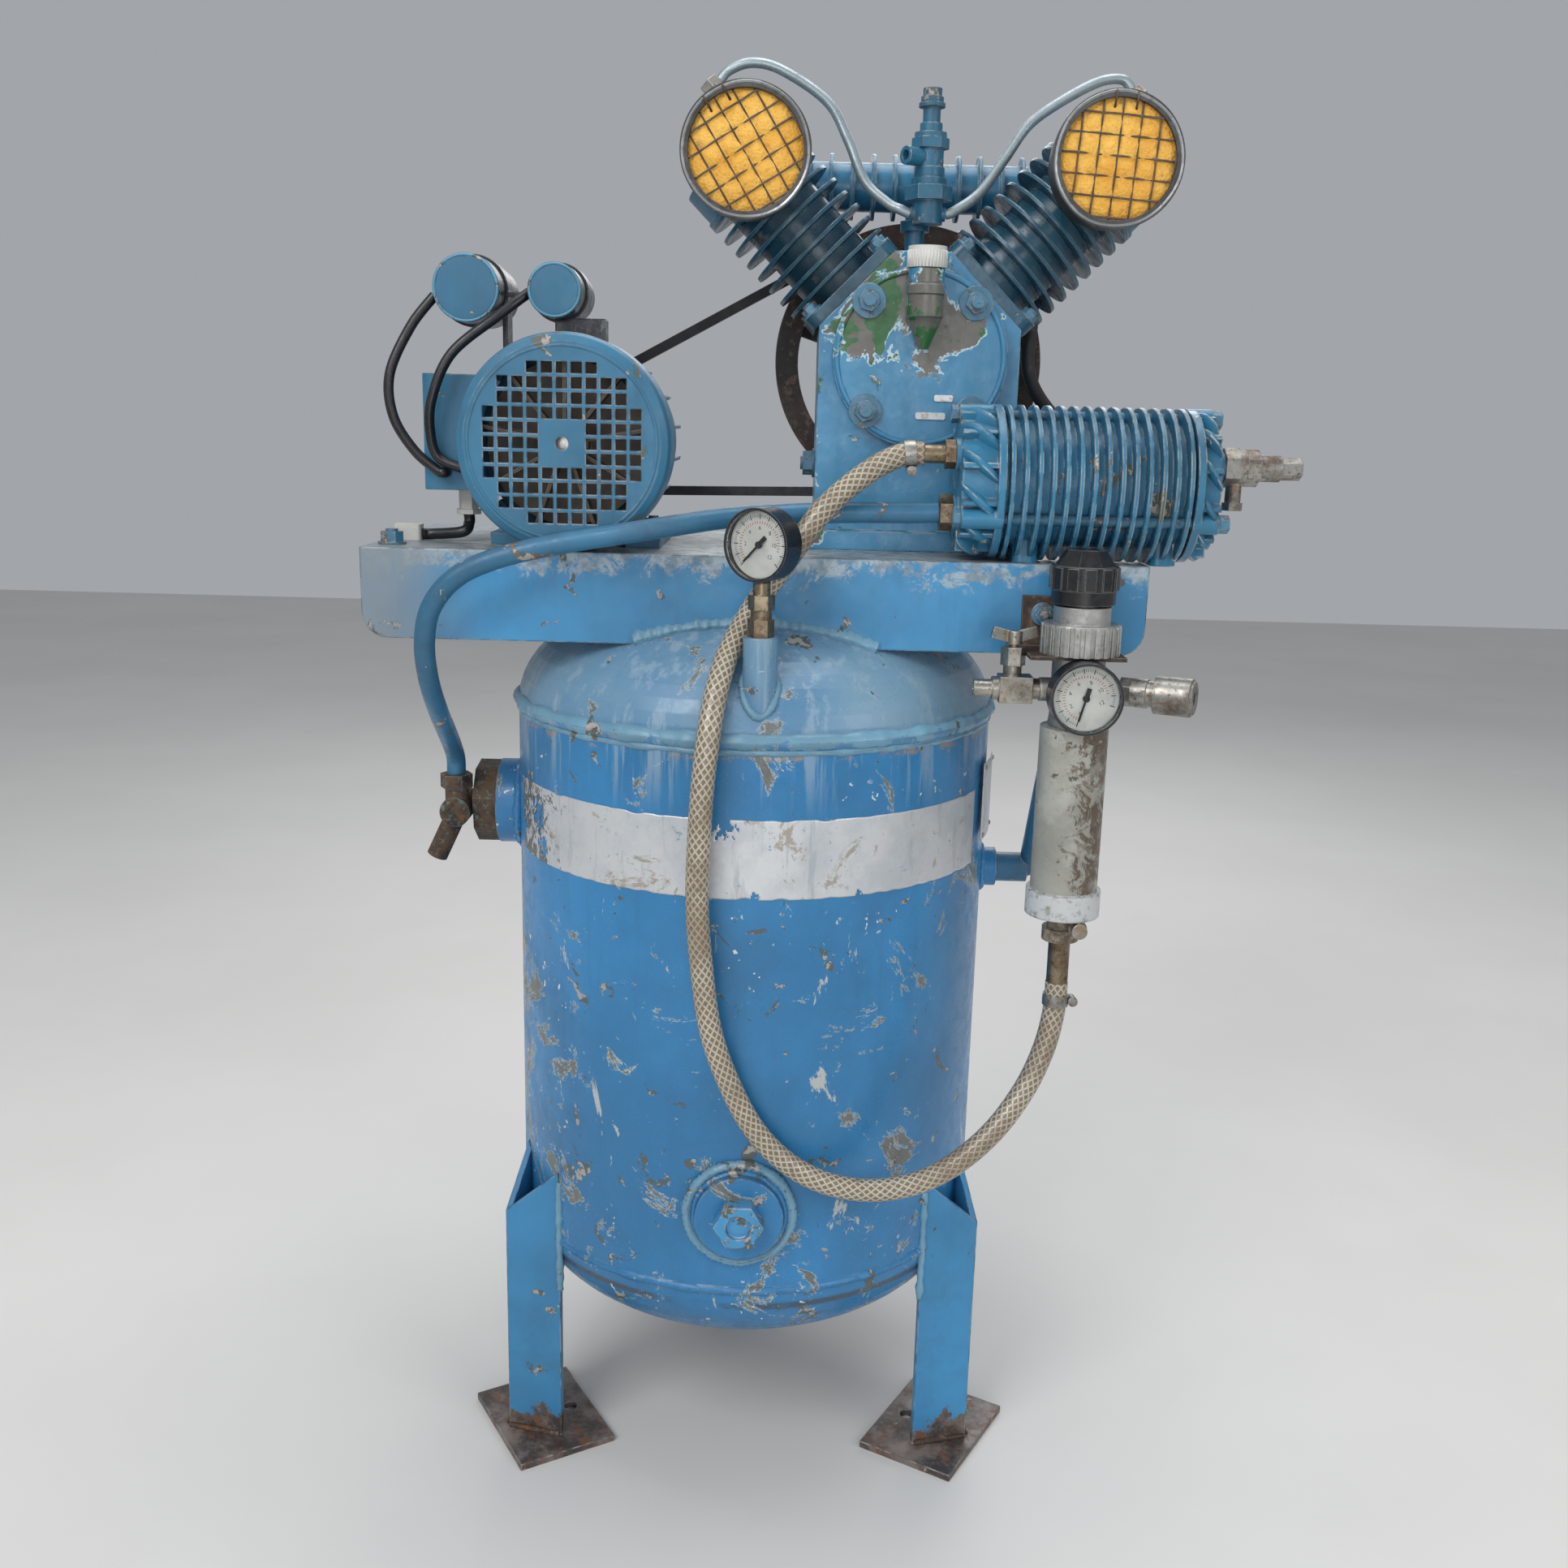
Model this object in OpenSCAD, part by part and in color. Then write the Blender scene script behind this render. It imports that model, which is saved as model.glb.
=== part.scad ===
// Stationary belt-driven air compressor on a vertical tank.
// The origin is on the floor under the tank's axis; +Z is up and -Y is the front.

/* [Tank] */
// Outer diameter of the tank
tank_d = 406; // [350:1:490]
// Height of the shell between its two seams
shell_h = 455; // [380:1:550]
// Thickness of the tank plate
tank_wall = 4; // [3:0.5:5]
// Height of the lower seam above the floor
seam_z = 197; // [165:1:240]
// Diameter of the welded boss for the check valve
inlet_boss_d = 74; // [60:1:80]
// Height of the check valve boss below the upper seam
inlet_drop = 99; // [80:1:120]
// Height of the outlet stub below the upper seam
outlet_drop = 149; // [130:1:160]
// Diameter of the welded boss for the drain plug
plug_boss_d = 71; // [60:1:80]
// Height of the drain plug above the lower seam
plug_rise = 71; // [60:1:90]
// Size of the drain plug across its corners
plug_hex_d = 40; // [32:1:46]

/* [Legs] */
// Flange width of the leg angle
leg_w = 50; // [40:1:60]
// Thickness of the leg angle
leg_t = 5; // [4:0.5:7]
// Height of a leg at its outer corner
leg_h = 217; // [200:1:235]
// Foot plate length, around the tank
plate_l = 114; // [100:1:136]
// Foot plate width, towards the tank
plate_w = 87; // [80:1:104]
// Thickness of the foot plates
plate_t = 6; // [5:0.5:10]
// Diameter of the bolt hole in each foot plate
foot_hole_d = 12; // [10:0.5:14]

/* [Deck] */
// Width of the deck
deck_w = 610; // [600:1:730]
// Depth of the deck
deck_d = 260; // [240:1:290]
// Height of the deck's skirts
deck_h = 70; // [64:1:84]
// Thickness of the deck plate
deck_t = 5; // [4:0.5:6]
// How far the tank's top stands up inside the deck
dome_in_deck = 39.5; // [34:0.5:44]

/* [Motor] */
// Height of the motor shaft above the deck
motor_h = 82; // [82:1:96]
// Distance of the motor axis left of the tank's axis
motor_off = 145; // [130:1:150]
// Diameter of the motor frame
motor_d = 140; // [130:1:146]
// Length of the motor frame
motor_l = 150; // [130:1:160]
// Diameter of the fan cowl
cowl_d = 162; // [156:1:162]
// Depth of the fan cowl
cowl_l = 50; // [46:1:56]
// Pitch of the cowl's square holes
grid_pitch = 11; // [10:0.5:12]
// Side of the cowl's square holes
grid_hole = 8.2; // [6:0.1:8.5]
// Diameter of the motor shaft
motor_shaft_d = 19; // [16:1:24]

/* [Drive] */
// Outer diameter of the motor pulley
pulley_d = 100; // [84:1:116]
// Outer diameter of the flywheel
flywheel_d = 234; // [210:1:250]
// Width of the flywheel's rim
flywheel_w = 30; // [26:1:34]
// Distance of the belt behind the tank's axis
belt_y = 100; // [98:1:108]
// Width of the belt
belt_w = 12; // [10:0.5:13]
// Thickness of the belt
belt_t = 8; // [7:0.5:9]

/* [Pump] */
// Distance of the pump's centre right of the tank's axis
pump_off = 127; // [122:1:132]
// Height of the crankshaft above the deck
crank_h = 154; // [150:1:170]
// Width of the crankcase
case_w = 162; // [158:1:176]
// Distance from the crankshaft to a cylinder seat
seat_r = 74; // [72:1:80]
// Wall of the crankcase
case_wall = 8; // [6:0.5:10]
// Diameter of the round front cover
cover_d = 140; // [134:1:146]
// Thickness of the front cover
cover_t = 12; // [10:1:14]
// Cylinder bore
bore_d = 52; // [46:1:56]
// Piston stroke
stroke = 60; // [52:1:62]
// Length of a connecting rod between its eyes
rod_l = 135; // [132:1:140]
// Diameter of the cylinder fins
fin_d = 100; // [92:1:104]
// Number of fins on each cylinder
fin_n = 8; // [6:1:9]
// Thickness of a fin
fin_t = 3; // [2.5:0.5:4]
// Thickness of a cylinder head
head_t = 46; // [42:1:52]
// Diameter of the intake filters
filter_d = 100; // [88:1:104]
// Depth of the intake filters
filter_l = 40; // [34:1:46]

/* [Aftercooler] */
// Length of the aftercooler between its cover faces
cooler_l = 194; // [180:1:204]
// Diameter of the aftercooler fins
cooler_d = 120; // [112:1:122]
// Number of fins on the aftercooler
cooler_fins = 14; // [10:1:16]

/* [Regulator] */
// How far the regulator's axis hangs outside the tank's side
reg_out = 45; // [43:1:53]
// Distance of the regulator in front of the deck
reg_gap = 38; // [36:1:44]
// Diameter of the filter bowl
bowl_d = 52; // [46:1:56]
// Length of the filter bowl
bowl_l = 129; // [120:1:134]
// Diameter of the regulator knob
knob_d = 52; // [46:1:58]
// Diameter of the two pressure gauges
gauge_d = 54; // [50:1:60]

/* [Fits] */
// Radial clearance of a shaft in its bearing
run_gap = 0.05; // [0.03:0.01:0.08]
// Gap between pieces that move past each other
free_gap = 0.5; // [0.4:0.1:0.8]

/* [Hidden] */
$fn = 48;
tank_r = tank_d / 2;
head_rise = tank_r / 2;
top_z = seam_z + shell_h;
deck_z = top_z + head_rise - dome_in_deck;
deck_top = deck_z + deck_h;
deck_front = -deck_d / 2;
head_steps = 16;

blue = [0.16, 0.5, 0.75];
dark_blue = [0.08, 0.28, 0.42];
steel = [0.66, 0.66, 0.64];
rust = [0.38, 0.25, 0.17];
brass = [0.72, 0.58, 0.32];
black = [0.07, 0.07, 0.08];
white = [0.92, 0.92, 0.88];
foam = [0.93, 0.66, 0.2];

// ---------- helpers ----------

// Cylinder or ring whose axis runs along +X from point p
module rod_x(p, r, l, hole = 0) translate(p) rotate([0, 90, 0]) ring(r, l, hole);
// Cylinder or ring whose axis runs along +Y from point p
module rod_y(p, r, l, hole = 0) translate(p) rotate([-90, 0, 0]) ring(r, l, hole);
// Cylinder or ring whose axis runs along +Z from point p
module rod_z(p, r, l, hole = 0) translate(p) ring(r, l, hole);
module ring(r, l, hole = 0) {
    difference() {
        cylinder(r = r, h = l);
        if (hole > 0) translate([0, 0, -1]) cylinder(r = hole, h = l + 2);
    }
}
// Hexagon bar of corner radius r, standing on the origin
module hex(r, l) cylinder(r = r, h = l, $fn = 6);
// Block with four rounded upright edges, centred in X and Y
module round_block(w, d, h, r) {
    translate([-w / 2 + r, -d / 2, 0]) cube([w - 2 * r, d, h]);
    translate([-w / 2, -d / 2 + r, 0]) cube([w, d - 2 * r, h]);
    for (x = [-1, 1], y = [-1, 1])
        translate([x * (w / 2 - r), y * (d / 2 - r), 0]) cylinder(r = r, h = h);
}
function unit(v) = v / norm(v);
// Smooth curve through the points of a route
function smooth(p, n) = concat([for (i = [0:len(p) - 2], k = [0:n - 1])
    let (a = p[max(i - 1, 0)], b = p[i], c = p[i + 1], d = p[min(i + 2, len(p) - 1)], t = k / n)
        (2 * b + (c - a) * t + (2 * a - 5 * b + 4 * c - d) * t * t
            + (3 * b - a - 3 * c + d) * t * t * t) / 2], [p[len(p) - 1]]);
function tangents(p) = [for (i = [0:len(p) - 1]) unit(p[min(i + 1, len(p) - 1)] - p[max(i - 1, 0)])];
function square_to(t) = unit(cross(t, abs(t.z) < 0.9 ? [0, 0, 1] : [1, 0, 0]));
function frames(t) = [for (i = 0, n = square_to(t[0]); i < len(t);
    n = unit(n - t[min(i + 1, len(t) - 1)] * (n * t[min(i + 1, len(t) - 1)])), i = i + 1) n];
// Round tube swept along a route
module tube(route, d, sides = 10, steps = 3) {
    p = smooth(route, steps);
    t = tangents(p);
    n = frames(t);
    rings = len(p);
    points = [for (i = [0:rings - 1], j = [0:sides - 1])
        p[i] + d / 2 * (cos(360 * j / sides) * n[i] + sin(360 * j / sides) * cross(t[i], n[i]))];
    sides_up = [for (i = [0:rings - 2], j = [0:sides - 1], h = [0, 1])
        let (k = (j + 1) % sides, a = i * sides, b = a + sides)
            h == 0 ? [a + j, b + j, b + k] : [a + j, b + k, a + k]];
    caps = [[for (j = [0:sides - 1]) j], [for (j = [sides - 1:-1:0]) (rings - 1) * sides + j]];
    polyhedron(points, concat(caps, sides_up));
}

// ---------- tank, legs and deck ----------

// Half section of the tank, set in by i from its outer face
function half_tank(i) = concat(
    [for (k = [0:head_steps]) let (a = 90 * k / head_steps)
        [(tank_r - i) * sin(a), seam_z - (head_rise - i) * cos(a)]],
    [for (k = [0:head_steps]) let (a = 90 * k / head_steps)
        [(tank_r - i) * cos(a), top_z + (head_rise - i) * sin(a)]]);
module tank_outside() rotate_extrude($fn = 96) polygon(half_tank(0));

inlet_z = top_z - inlet_drop;
outlet_z = top_z - outlet_drop;
plug_z = seam_z + plug_rise;
inlet_boss_l = 19;
outlet_boss_l = 14;
outlet_boss_r = 17;
plug_boss_l = 12;
inlet_bore_r = 20;
outlet_bore_r = 10;
plug_bore_r = 14;
gauge_x = 7;
gauge_y = -tank_r + 17;
gauge_boss_r = 13;
gauge_boss_top = deck_z + 16;
gauge_bore_r = 6;
boss_root = 8;
weld_r = 6.5;
low_weld_r = 4;
module seam(z, in, r) rotate_extrude($fn = 96) translate([tank_r - in, z]) circle(r = r, $fn = 16);

module tank() color(blue) difference() {
    union() {
        tank_outside();
        seam(top_z, 3, weld_r);
        seam(seam_z, 2, low_weld_r);
        rod_x([-tank_r - inlet_boss_l, 0, inlet_z], inlet_boss_d / 2, inlet_boss_l + boss_root);
        rod_x([tank_r - boss_root, 0, outlet_z], outlet_boss_r, boss_root + outlet_boss_l);
        rod_y([0, -tank_r - plug_boss_l, plug_z], plug_boss_d / 2, plug_boss_l + boss_root);
        rod_y([0, -tank_r - 3, plug_z], plug_boss_d / 2 + 6, 3 + boss_root);
        rod_z([gauge_x, gauge_y, top_z + 20], gauge_boss_r, gauge_boss_top - top_z - 20);
    }
    rotate_extrude($fn = 96) polygon(half_tank(tank_wall));
    rod_x([-tank_r - inlet_boss_l - 1, 0, inlet_z], inlet_bore_r, inlet_boss_l + 20);
    rod_x([tank_r - 20, 0, outlet_z], outlet_bore_r, outlet_boss_l + 21);
    rod_y([0, -tank_r - plug_boss_l - 1, plug_z], plug_bore_r, plug_boss_l + 20);
    rod_z([gauge_x, gauge_y, top_z], gauge_bore_r, gauge_boss_top - top_z + 1);
}

corner_r = sqrt(pow(tank_r, 2) - pow(leg_w, 2) / 2) + leg_w / sqrt(2);
plate_r = corner_r - 33;
foot_pcd_r = plate_r - 25;
leg_angles = [-150, -30, 90];
leg_slope = 0.88;
module leg_flange() translate([corner_r, 0, 0]) rotate([0, 0, 135]) translate([0, leg_t, 0])
    rotate([90, 0, 0]) linear_extrude(leg_t)
        polygon([[0, plate_t - 2], [leg_w, plate_t - 2], [leg_w, leg_h + leg_w * leg_slope], [0, leg_h]]);
module leg() {
    difference() {
        union() {
            leg_flange();
            mirror([0, 1, 0]) leg_flange();
        }
        tank_outside();
        seam(seam_z, 2, low_weld_r);
    }
    difference() {
        translate([plate_r - plate_w / 2, -plate_l / 2, 0]) cube([plate_w, plate_l, plate_t]);
        rod_z([foot_pcd_r, 0, -1], foot_hole_d / 2, plate_t + 2);
    }
}
module legs() color(blue) for (a = leg_angles) rotate([0, 0, a]) leg();

deck_corner = 20;
module deck_skirt(y) translate([0, y, 0]) rotate([90, 0, 0]) translate([0, 0, -deck_t / 2])
    linear_extrude(deck_t) polygon(concat(
        [[deck_w / 2, deck_top], [-deck_w / 2, deck_top]],
        [for (k = [0:6]) let (a = 180 + 15 * k)
            [-deck_w / 2 + deck_corner + deck_corner * cos(a),
                deck_z + deck_corner + deck_corner * sin(a)]],
        [for (k = [0:6]) let (a = 270 + 15 * k)
            [deck_w / 2 - deck_corner + deck_corner * cos(a),
                deck_z + deck_corner + deck_corner * sin(a)]]));
module deck() color(blue) difference() {
    union() {
        translate([-deck_w / 2, -deck_d / 2, deck_top - deck_t]) cube([deck_w, deck_d, deck_t]);
        deck_skirt(-deck_d / 2 + deck_t / 2);
        deck_skirt(deck_d / 2 - deck_t / 2);
    }
    tank_outside();
}

module drain_plug() color(blue) {
    difference() {
        union() {
            translate([0, -tank_r - plug_boss_l, plug_z]) rotate([90, 0, 0]) hex(plug_hex_d / 2, 14);
            rod_y([0, -tank_r - plug_boss_l, plug_z], plug_bore_r, plug_boss_l);
        }
        rod_y([0, -tank_r - plug_boss_l - 15, plug_z], plug_hex_d / 4, 4);
    }
}

valve_x = -tank_r - inlet_boss_l;
valve_axis_x = valve_x - 34;
valve_y = -30;
pipe_d = 16;
pipe_end_z = inlet_z + 30;
module check_valve() color(rust) {
    // Reducing bush screwed into the boss
    rod_x([valve_x - 2, 0, inlet_z], inlet_bore_r, inlet_boss_l + 2);
    translate([valve_x - 20, 0, inlet_z]) rotate([0, 90, 0]) rotate(30) cylinder(r = 36, h = 20, $fn = 8);
    // Valve body with its inlet upwards
    rod_x([valve_axis_x - 3, 0, inlet_z - 2], 10, valve_x - 18 - valve_axis_x + 3);
    rod_y([valve_axis_x, valve_y - 12, inlet_z - 2], 13, 15 - valve_y);
    rod_z([valve_axis_x, valve_y, inlet_z - 2], 10, pipe_end_z - inlet_z - 9);
    translate([valve_axis_x, valve_y, pipe_end_z - 12]) hex(14, 12);
    translate([valve_axis_x, valve_y, inlet_z - 4]) rotate([0, 205, 0]) cylinder(r = 9, h = 44);
}

// Discharge pipe: cooler, over the deck's front edge, down to the check valve
cooler_y = deck_front + 27;
cooler_x = pump_off + 28;
cooler_r = cooler_d / 2;
cooler_z = deck_top + cooler_r;
pipe_y = cooler_y - cooler_r / 3;
pipe_z = deck_top + 37;
pipe_route = [[cooler_x - 14, pipe_y, pipe_z], [120, pipe_y, pipe_z - 1], [70, pipe_y - 1, pipe_z - 2],
    [25, deck_front, pipe_z - 4], [-20, deck_front - 15, pipe_z - 7], [-60, deck_front - 27, pipe_z - 13],
    [-95, deck_front - 32, pipe_z - 19], [-150, deck_front - 33, pipe_z - 29], [-195, deck_front - 33,
        pipe_z - 41],
    [-225, deck_front - 32, pipe_z - 56], [valve_axis_x + 12, deck_front - 30, pipe_z - 79],
    [valve_axis_x + 5, deck_front - 24, pipe_z - 107], [valve_axis_x + 4, deck_front - 10, pipe_z - 139],
    [valve_axis_x + 4, -112, pipe_z - 171], [valve_axis_x + 2, -74, inlet_z + 86], [valve_axis_x, -40,
        inlet_z + 64],
    [valve_axis_x, valve_y, inlet_z + 44], [valve_axis_x, valve_y, pipe_end_z]];
module discharge_pipe() color(blue) tube(pipe_route, pipe_d, 12, 3);

reg_x = tank_r + reg_out;
reg_y = deck_front - reg_gap;
bracket_z = deck_z + 4;
reg_axis_z = bracket_z - gauge_d / 2 + 2;
body_drop = gauge_d / 2 + 1;
body_r = 20;
outlet_x = tank_r + outlet_boss_l;
module outlet_pipe() color(blue) {
    rod_x([outlet_x, 0, outlet_z], outlet_bore_r + 3, 28);
    rod_x([outlet_x - outlet_boss_l, 0, outlet_z], outlet_bore_r, outlet_boss_l);
    tube([[outlet_x + 20, 0, outlet_z], [outlet_x + 30, -2, outlet_z + 3], [reg_x, -12, outlet_z + 22],
        [reg_x, -60, outlet_z + 95], [reg_x, -98, outlet_z + 150], [reg_x, reg_y + 50, reg_axis_z - 12],
        [reg_x, reg_y + 34, reg_axis_z], [reg_x, reg_y + 24, reg_axis_z]], 18, 12, 3);
}

// ---------- motor ----------

motor_x = -motor_off;
motor_z = deck_top + motor_h;
cowl_y = deck_front - 20;
frame_y = cowl_y + cowl_l;
frame_end = frame_y + motor_l;
frame_r = motor_d / 2;
cowl_wall = 1.5;
shaft_r = motor_shaft_d / 2;
bearing_r = shaft_r + 10;
bearing_w = 14;
frame_wall = 8;
shield_t = 16;
fin_h = 6;
foot_w = 136;
foot_t = 10;
module motor_frame() color(blue) difference() {
    union() {
        rod_y([motor_x, frame_y, motor_z], frame_r, motor_l);
        for (a = [0:20:340]) if (abs(a - 270) > 15)
            translate([motor_x, frame_y + 18, motor_z]) rotate([0, a, 0])
                translate([-1.5, 0, frame_r - 2]) cube([3, motor_l - 24, fin_h + 2]);
        for (s = [-1, 1]) {
            translate([motor_x + s * (foot_w / 2 - 14) - 14, frame_y + 20, deck_top]) cube([28,
                motor_l - 40, foot_t]);
            translate([motor_x + s * 36 - 6, frame_y + 30, deck_top + 2]) cube([12, motor_l - 60,
                motor_h - 46]);
        }
    }
    rod_y([motor_x, frame_y + shield_t, motor_z], frame_r - frame_wall, motor_l);
    rod_y([motor_x, frame_y + shield_t - bearing_w, motor_z], bearing_r, bearing_w + 1);
    rod_y([motor_x, frame_y - 1, motor_z], shaft_r + 1, shield_t);
}
module stator() color(steel) rod_y([motor_x, frame_y + 40, motor_z], frame_r - frame_wall, 84, 40);
module end_shield() color(blue) difference() {
    union() {
        rod_y([motor_x, frame_end, motor_z], frame_r, 10);
        rod_y([motor_x, frame_end - 4, motor_z], frame_r - frame_wall, 5);
        rod_y([motor_x, frame_end + 10, motor_z], frame_r - 22, 8);
    }
    rod_y([motor_x, frame_end - 5, motor_z], bearing_r, bearing_w + 5);
    rod_y([motor_x, frame_end, motor_z], shaft_r + 1, 20);
}

grill_r = cowl_d / 2 - 14;
grid_reach = floor(grill_r / grid_pitch);
module cowl_hole(i, j)
    if (max(abs(i), abs(j)) > 1 && norm([i, j]) * grid_pitch < grill_r - grid_hole / 2)
        translate([(i - 0.5) * grid_pitch + (grid_pitch - grid_hole) / 2, -1,
            (j - 0.5) * grid_pitch + (grid_pitch - grid_hole) / 2])
            cube([grid_hole, cowl_wall + 2, grid_hole]);
module fan_cowl() color(blue) translate([motor_x, cowl_y, motor_z]) difference() {
    union() {
        rod_y([0, 0, 0], cowl_d / 2 - 7, cowl_wall);
        rotate([-90, 0, 0]) rotate_extrude($fn = 96) polygon([[cowl_d / 2 - 8, 0], [cowl_d / 2 - 7, 0],
            [cowl_d / 2 - 2, 3], [cowl_d / 2, 9], [cowl_d / 2, cowl_l + 4],
            [cowl_d / 2 - cowl_wall, cowl_l + 4], [cowl_d / 2 - cowl_wall, 9],
            [cowl_d / 2 - 3, 4], [cowl_d / 2 - 8, cowl_wall]]);
        for (a = [45:90:315]) rotate([0, a, 0])
            translate([-7, cowl_l - 8, frame_r]) cube([14, 12, cowl_d / 2 - frame_r - 1]);
    }
    for (i = [-grid_reach:grid_reach], j = [-grid_reach:grid_reach]) cowl_hole(i, j);
    rod_y([0, -1, 0], 4.7, cowl_wall + 2);
}

rotor_front = cowl_y + 14;
rotor_back = belt_y + 17;
module motor_rotor() color(steel) {
    rod_y([motor_x, rotor_front, motor_z], shaft_r, rotor_back - rotor_front);
    rod_y([motor_x, frame_y + 36, motor_z], 40 - free_gap, 92);
}
fan_r = frame_r - 6;
fan_y = cowl_y + 14;
module cooling_fan() color(rust) {
    rod_y([motor_x, fan_y, motor_z], shaft_r + 8, 24, shaft_r);
    rod_y([motor_x, fan_y + 20, motor_z], fan_r - 2, 3, shaft_r);
    for (k = [0:8]) translate([motor_x, fan_y, motor_z]) rotate([0, 40 * k, 0])
        translate([-1.25, 0, shaft_r + 6]) cube([2.5, 21, fan_r - shaft_r - 6]);
}
groove_deep = belt_t + 2;
// Half section of a grooved rim of radius r, its bore side at r_in
module grooved_rim(r, r_in, w) rotate([-90, 0, 0]) translate([0, 0, -w / 2]) rotate_extrude($fn = 96)
    polygon([[r_in, 0], [r, 0], [r, w / 2 - belt_w / 2 - 2], [r - groove_deep, w / 2 - belt_w / 2 + 0.5],
        [r - groove_deep, w / 2 + belt_w / 2 - 0.5], [r, w / 2 + belt_w / 2 + 2], [r, w], [r_in, w]]);
module motor_pulley() color(rust) translate([motor_x, belt_y, motor_z]) grooved_rim(pulley_d / 2,
    shaft_r, 26);

pump_x = pump_off;
crank_z = deck_top + crank_h;
belt_in = 1.2;
run_small = pulley_d / 2 - groove_deep + belt_in;
run_big = flywheel_d / 2 - groove_deep + belt_in;
centre_gap = norm([pump_x - motor_x, crank_z - motor_z]);
line_angle = atan2(crank_z - motor_z, pump_x - motor_x);
wrap = acos((run_big - run_small) / centre_gap);
function belt_arc(c, r, a, b, n) = [for (k = [0:n]) let (t = a + (b - a) * k / n)
    [c.x, c.y, r, t]];
belt_path = concat(
    belt_arc([pump_x, crank_z], run_big, line_angle - 180 + wrap, line_angle + 180 - wrap, 32),
    belt_arc([motor_x, motor_z], run_small, line_angle + 180 - wrap, line_angle + 180 + wrap, 14));
// One corner of the belt's section: path point q, height h from the inner face, width w
function belt_corner(q, h, w) = [q.x + (q[2] + h) * cos(q[3]), belt_y + w / 2, q.y + (q[2] + h)
    * sin(q[3])];
module drive_belt() color(black) {
    n = len(belt_path);
    narrow = belt_w - 4;
    points = [for (q = belt_path) each [belt_corner(q, 0, -narrow), belt_corner(q, 0, narrow),
        belt_corner(q, belt_t, belt_w), belt_corner(q, belt_t, -belt_w)]];
    faces = [for (i = [0:n - 1], j = [0:3], h = [0, 1])
        let (a = 4 * i, b = 4 * ((i + 1) % n), k = (j + 1) % 4)
            h == 0 ? [a + j, b + k, b + j] : [a + j, a + k, b + k]];
    polyhedron(points, faces);
}

box_w = 50;
box_d = 90;
box_h = 90;
box_x = motor_x - frame_r - box_w / 2 - 2;
box_y = frame_y + 70;
box_z = motor_z - 40;
module terminal_box() color(blue) difference() {
    union() {
        translate([box_x, box_y, box_z]) round_block(box_w, box_d, box_h, 8);
        translate([box_x + box_w / 2 - 10, box_y - 25, motor_z - 20]) cube([26, 50, 40]);
    }
    translate([box_x, box_y, box_z + 3]) round_block(box_w - 6, box_d - 6, box_h - 6, 5);
    rod_y([motor_x, frame_y - 1, motor_z], frame_r, motor_l + 2);
}
gland_x = box_x + 6;
gland_y = box_y - 20;
module cable_fittings() color(white) {
    translate([gland_x, gland_y, box_z - 20]) {
        translate([0, 0, 4]) hex(8, 16);
        hex(10, 4);
    }
    translate([-285, -52, deck_top]) round_block(22, 14, 13, 3);
}
supply_route = [[gland_x, gland_y, box_z - 20], [gland_x, gland_y, box_z - 27], [gland_x - 4,
    gland_y - 6, box_z - 34],
    [-266, -50, deck_top + 5], [-274, -52, deck_top + 5]];
can_y = frame_y + 26;
can_z = motor_z + 115;
run_x = motor_x - 85;
start_x = motor_x - 16;
run_r = 26;
start_r = 21;
start_route = [[start_x - start_r, can_y + 8, can_z - 2], [start_x - 42, can_y - 6, can_z - 20],
    [start_x - 78, can_y - 14, can_z - 50], [start_x - 94, can_y - 16, can_z - 85], [start_x - 96,
        can_y - 14, can_z - 112],
    [start_x - 90, can_y - 12, can_z - 130],
    [box_x + 12, box_y - box_d / 2 - 12, can_z - 138],
    [box_x + 12, box_y - box_d / 2, can_z - 138]];
run_route = [[run_x - run_r, can_y + 8, can_z - 6], [run_x - 44, can_y + 2, can_z - 30], [run_x - 60,
    can_y - 4, can_z - 66],
    [run_x - 58, can_y - 6, can_z - 98], [run_x - 42, can_y - 8, can_z - 124], [run_x - 24, can_y - 10,
        can_z - 139],
    [box_x - 6, box_y - box_d / 2 - 10, can_z - 141], [box_x - 6, box_y - box_d / 2, can_z - 141]];
module cables() color(black) {
    tube(supply_route, 9, 8, 3);
    tube(start_route, 8, 8, 3);
    tube(run_route, 8, 8, 3);
}
strap_y = can_y + 30;
strap_w = 22;
module capacitor_bracket() color(black) difference() {
    union() {
        rod_y([run_x, strap_y, can_z], run_r + 2, strap_w);
        rod_y([start_x, strap_y, can_z], start_r + 2, strap_w);
        translate([run_x, strap_y, can_z - 4]) cube([start_x - run_x, strap_w, 4]);
        translate([motor_x - 20, strap_y, motor_z + frame_r]) cube([40, strap_w,
            can_z - start_r - motor_z - frame_r + 2]);
        translate([motor_x - 62, strap_y, motor_z + frame_r - 18]) cube([4, strap_w,
            can_z - motor_z - frame_r + 16]);
    }
    rod_y([run_x, strap_y - 1, can_z], run_r, strap_w + 2);
    rod_y([start_x, strap_y - 1, can_z], start_r, strap_w + 2);
    rod_y([motor_x, frame_y - 1, motor_z], frame_r + fin_h, motor_l + 2);
}
module can(x, r, l) rod_y([x, can_y, can_z], r, l);
module capacitors() color(black) {
    can(run_x, run_r, 92);
    can(start_x, start_r, 84);
}

module ball_bearing(x, y, z, bore, r) rod_y([x, y, z], r, bearing_w, bore + run_gap);
crank_r = 12.5;
crank_bearing_r = crank_r + 13;
case_front = -40;
case_back = 62;
module ball_bearings() color(steel) {
    ball_bearing(motor_x, frame_y + shield_t - bearing_w, motor_z, shaft_r, bearing_r);
    ball_bearing(motor_x, frame_end - 4, motor_z, shaft_r, bearing_r);
    ball_bearing(pump_x, case_back - 26, crank_z, crank_r, crank_bearing_r);
    ball_bearing(pump_x, case_back - 8, crank_z, crank_r, crank_bearing_r);
}

// ---------- pump ----------

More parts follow.
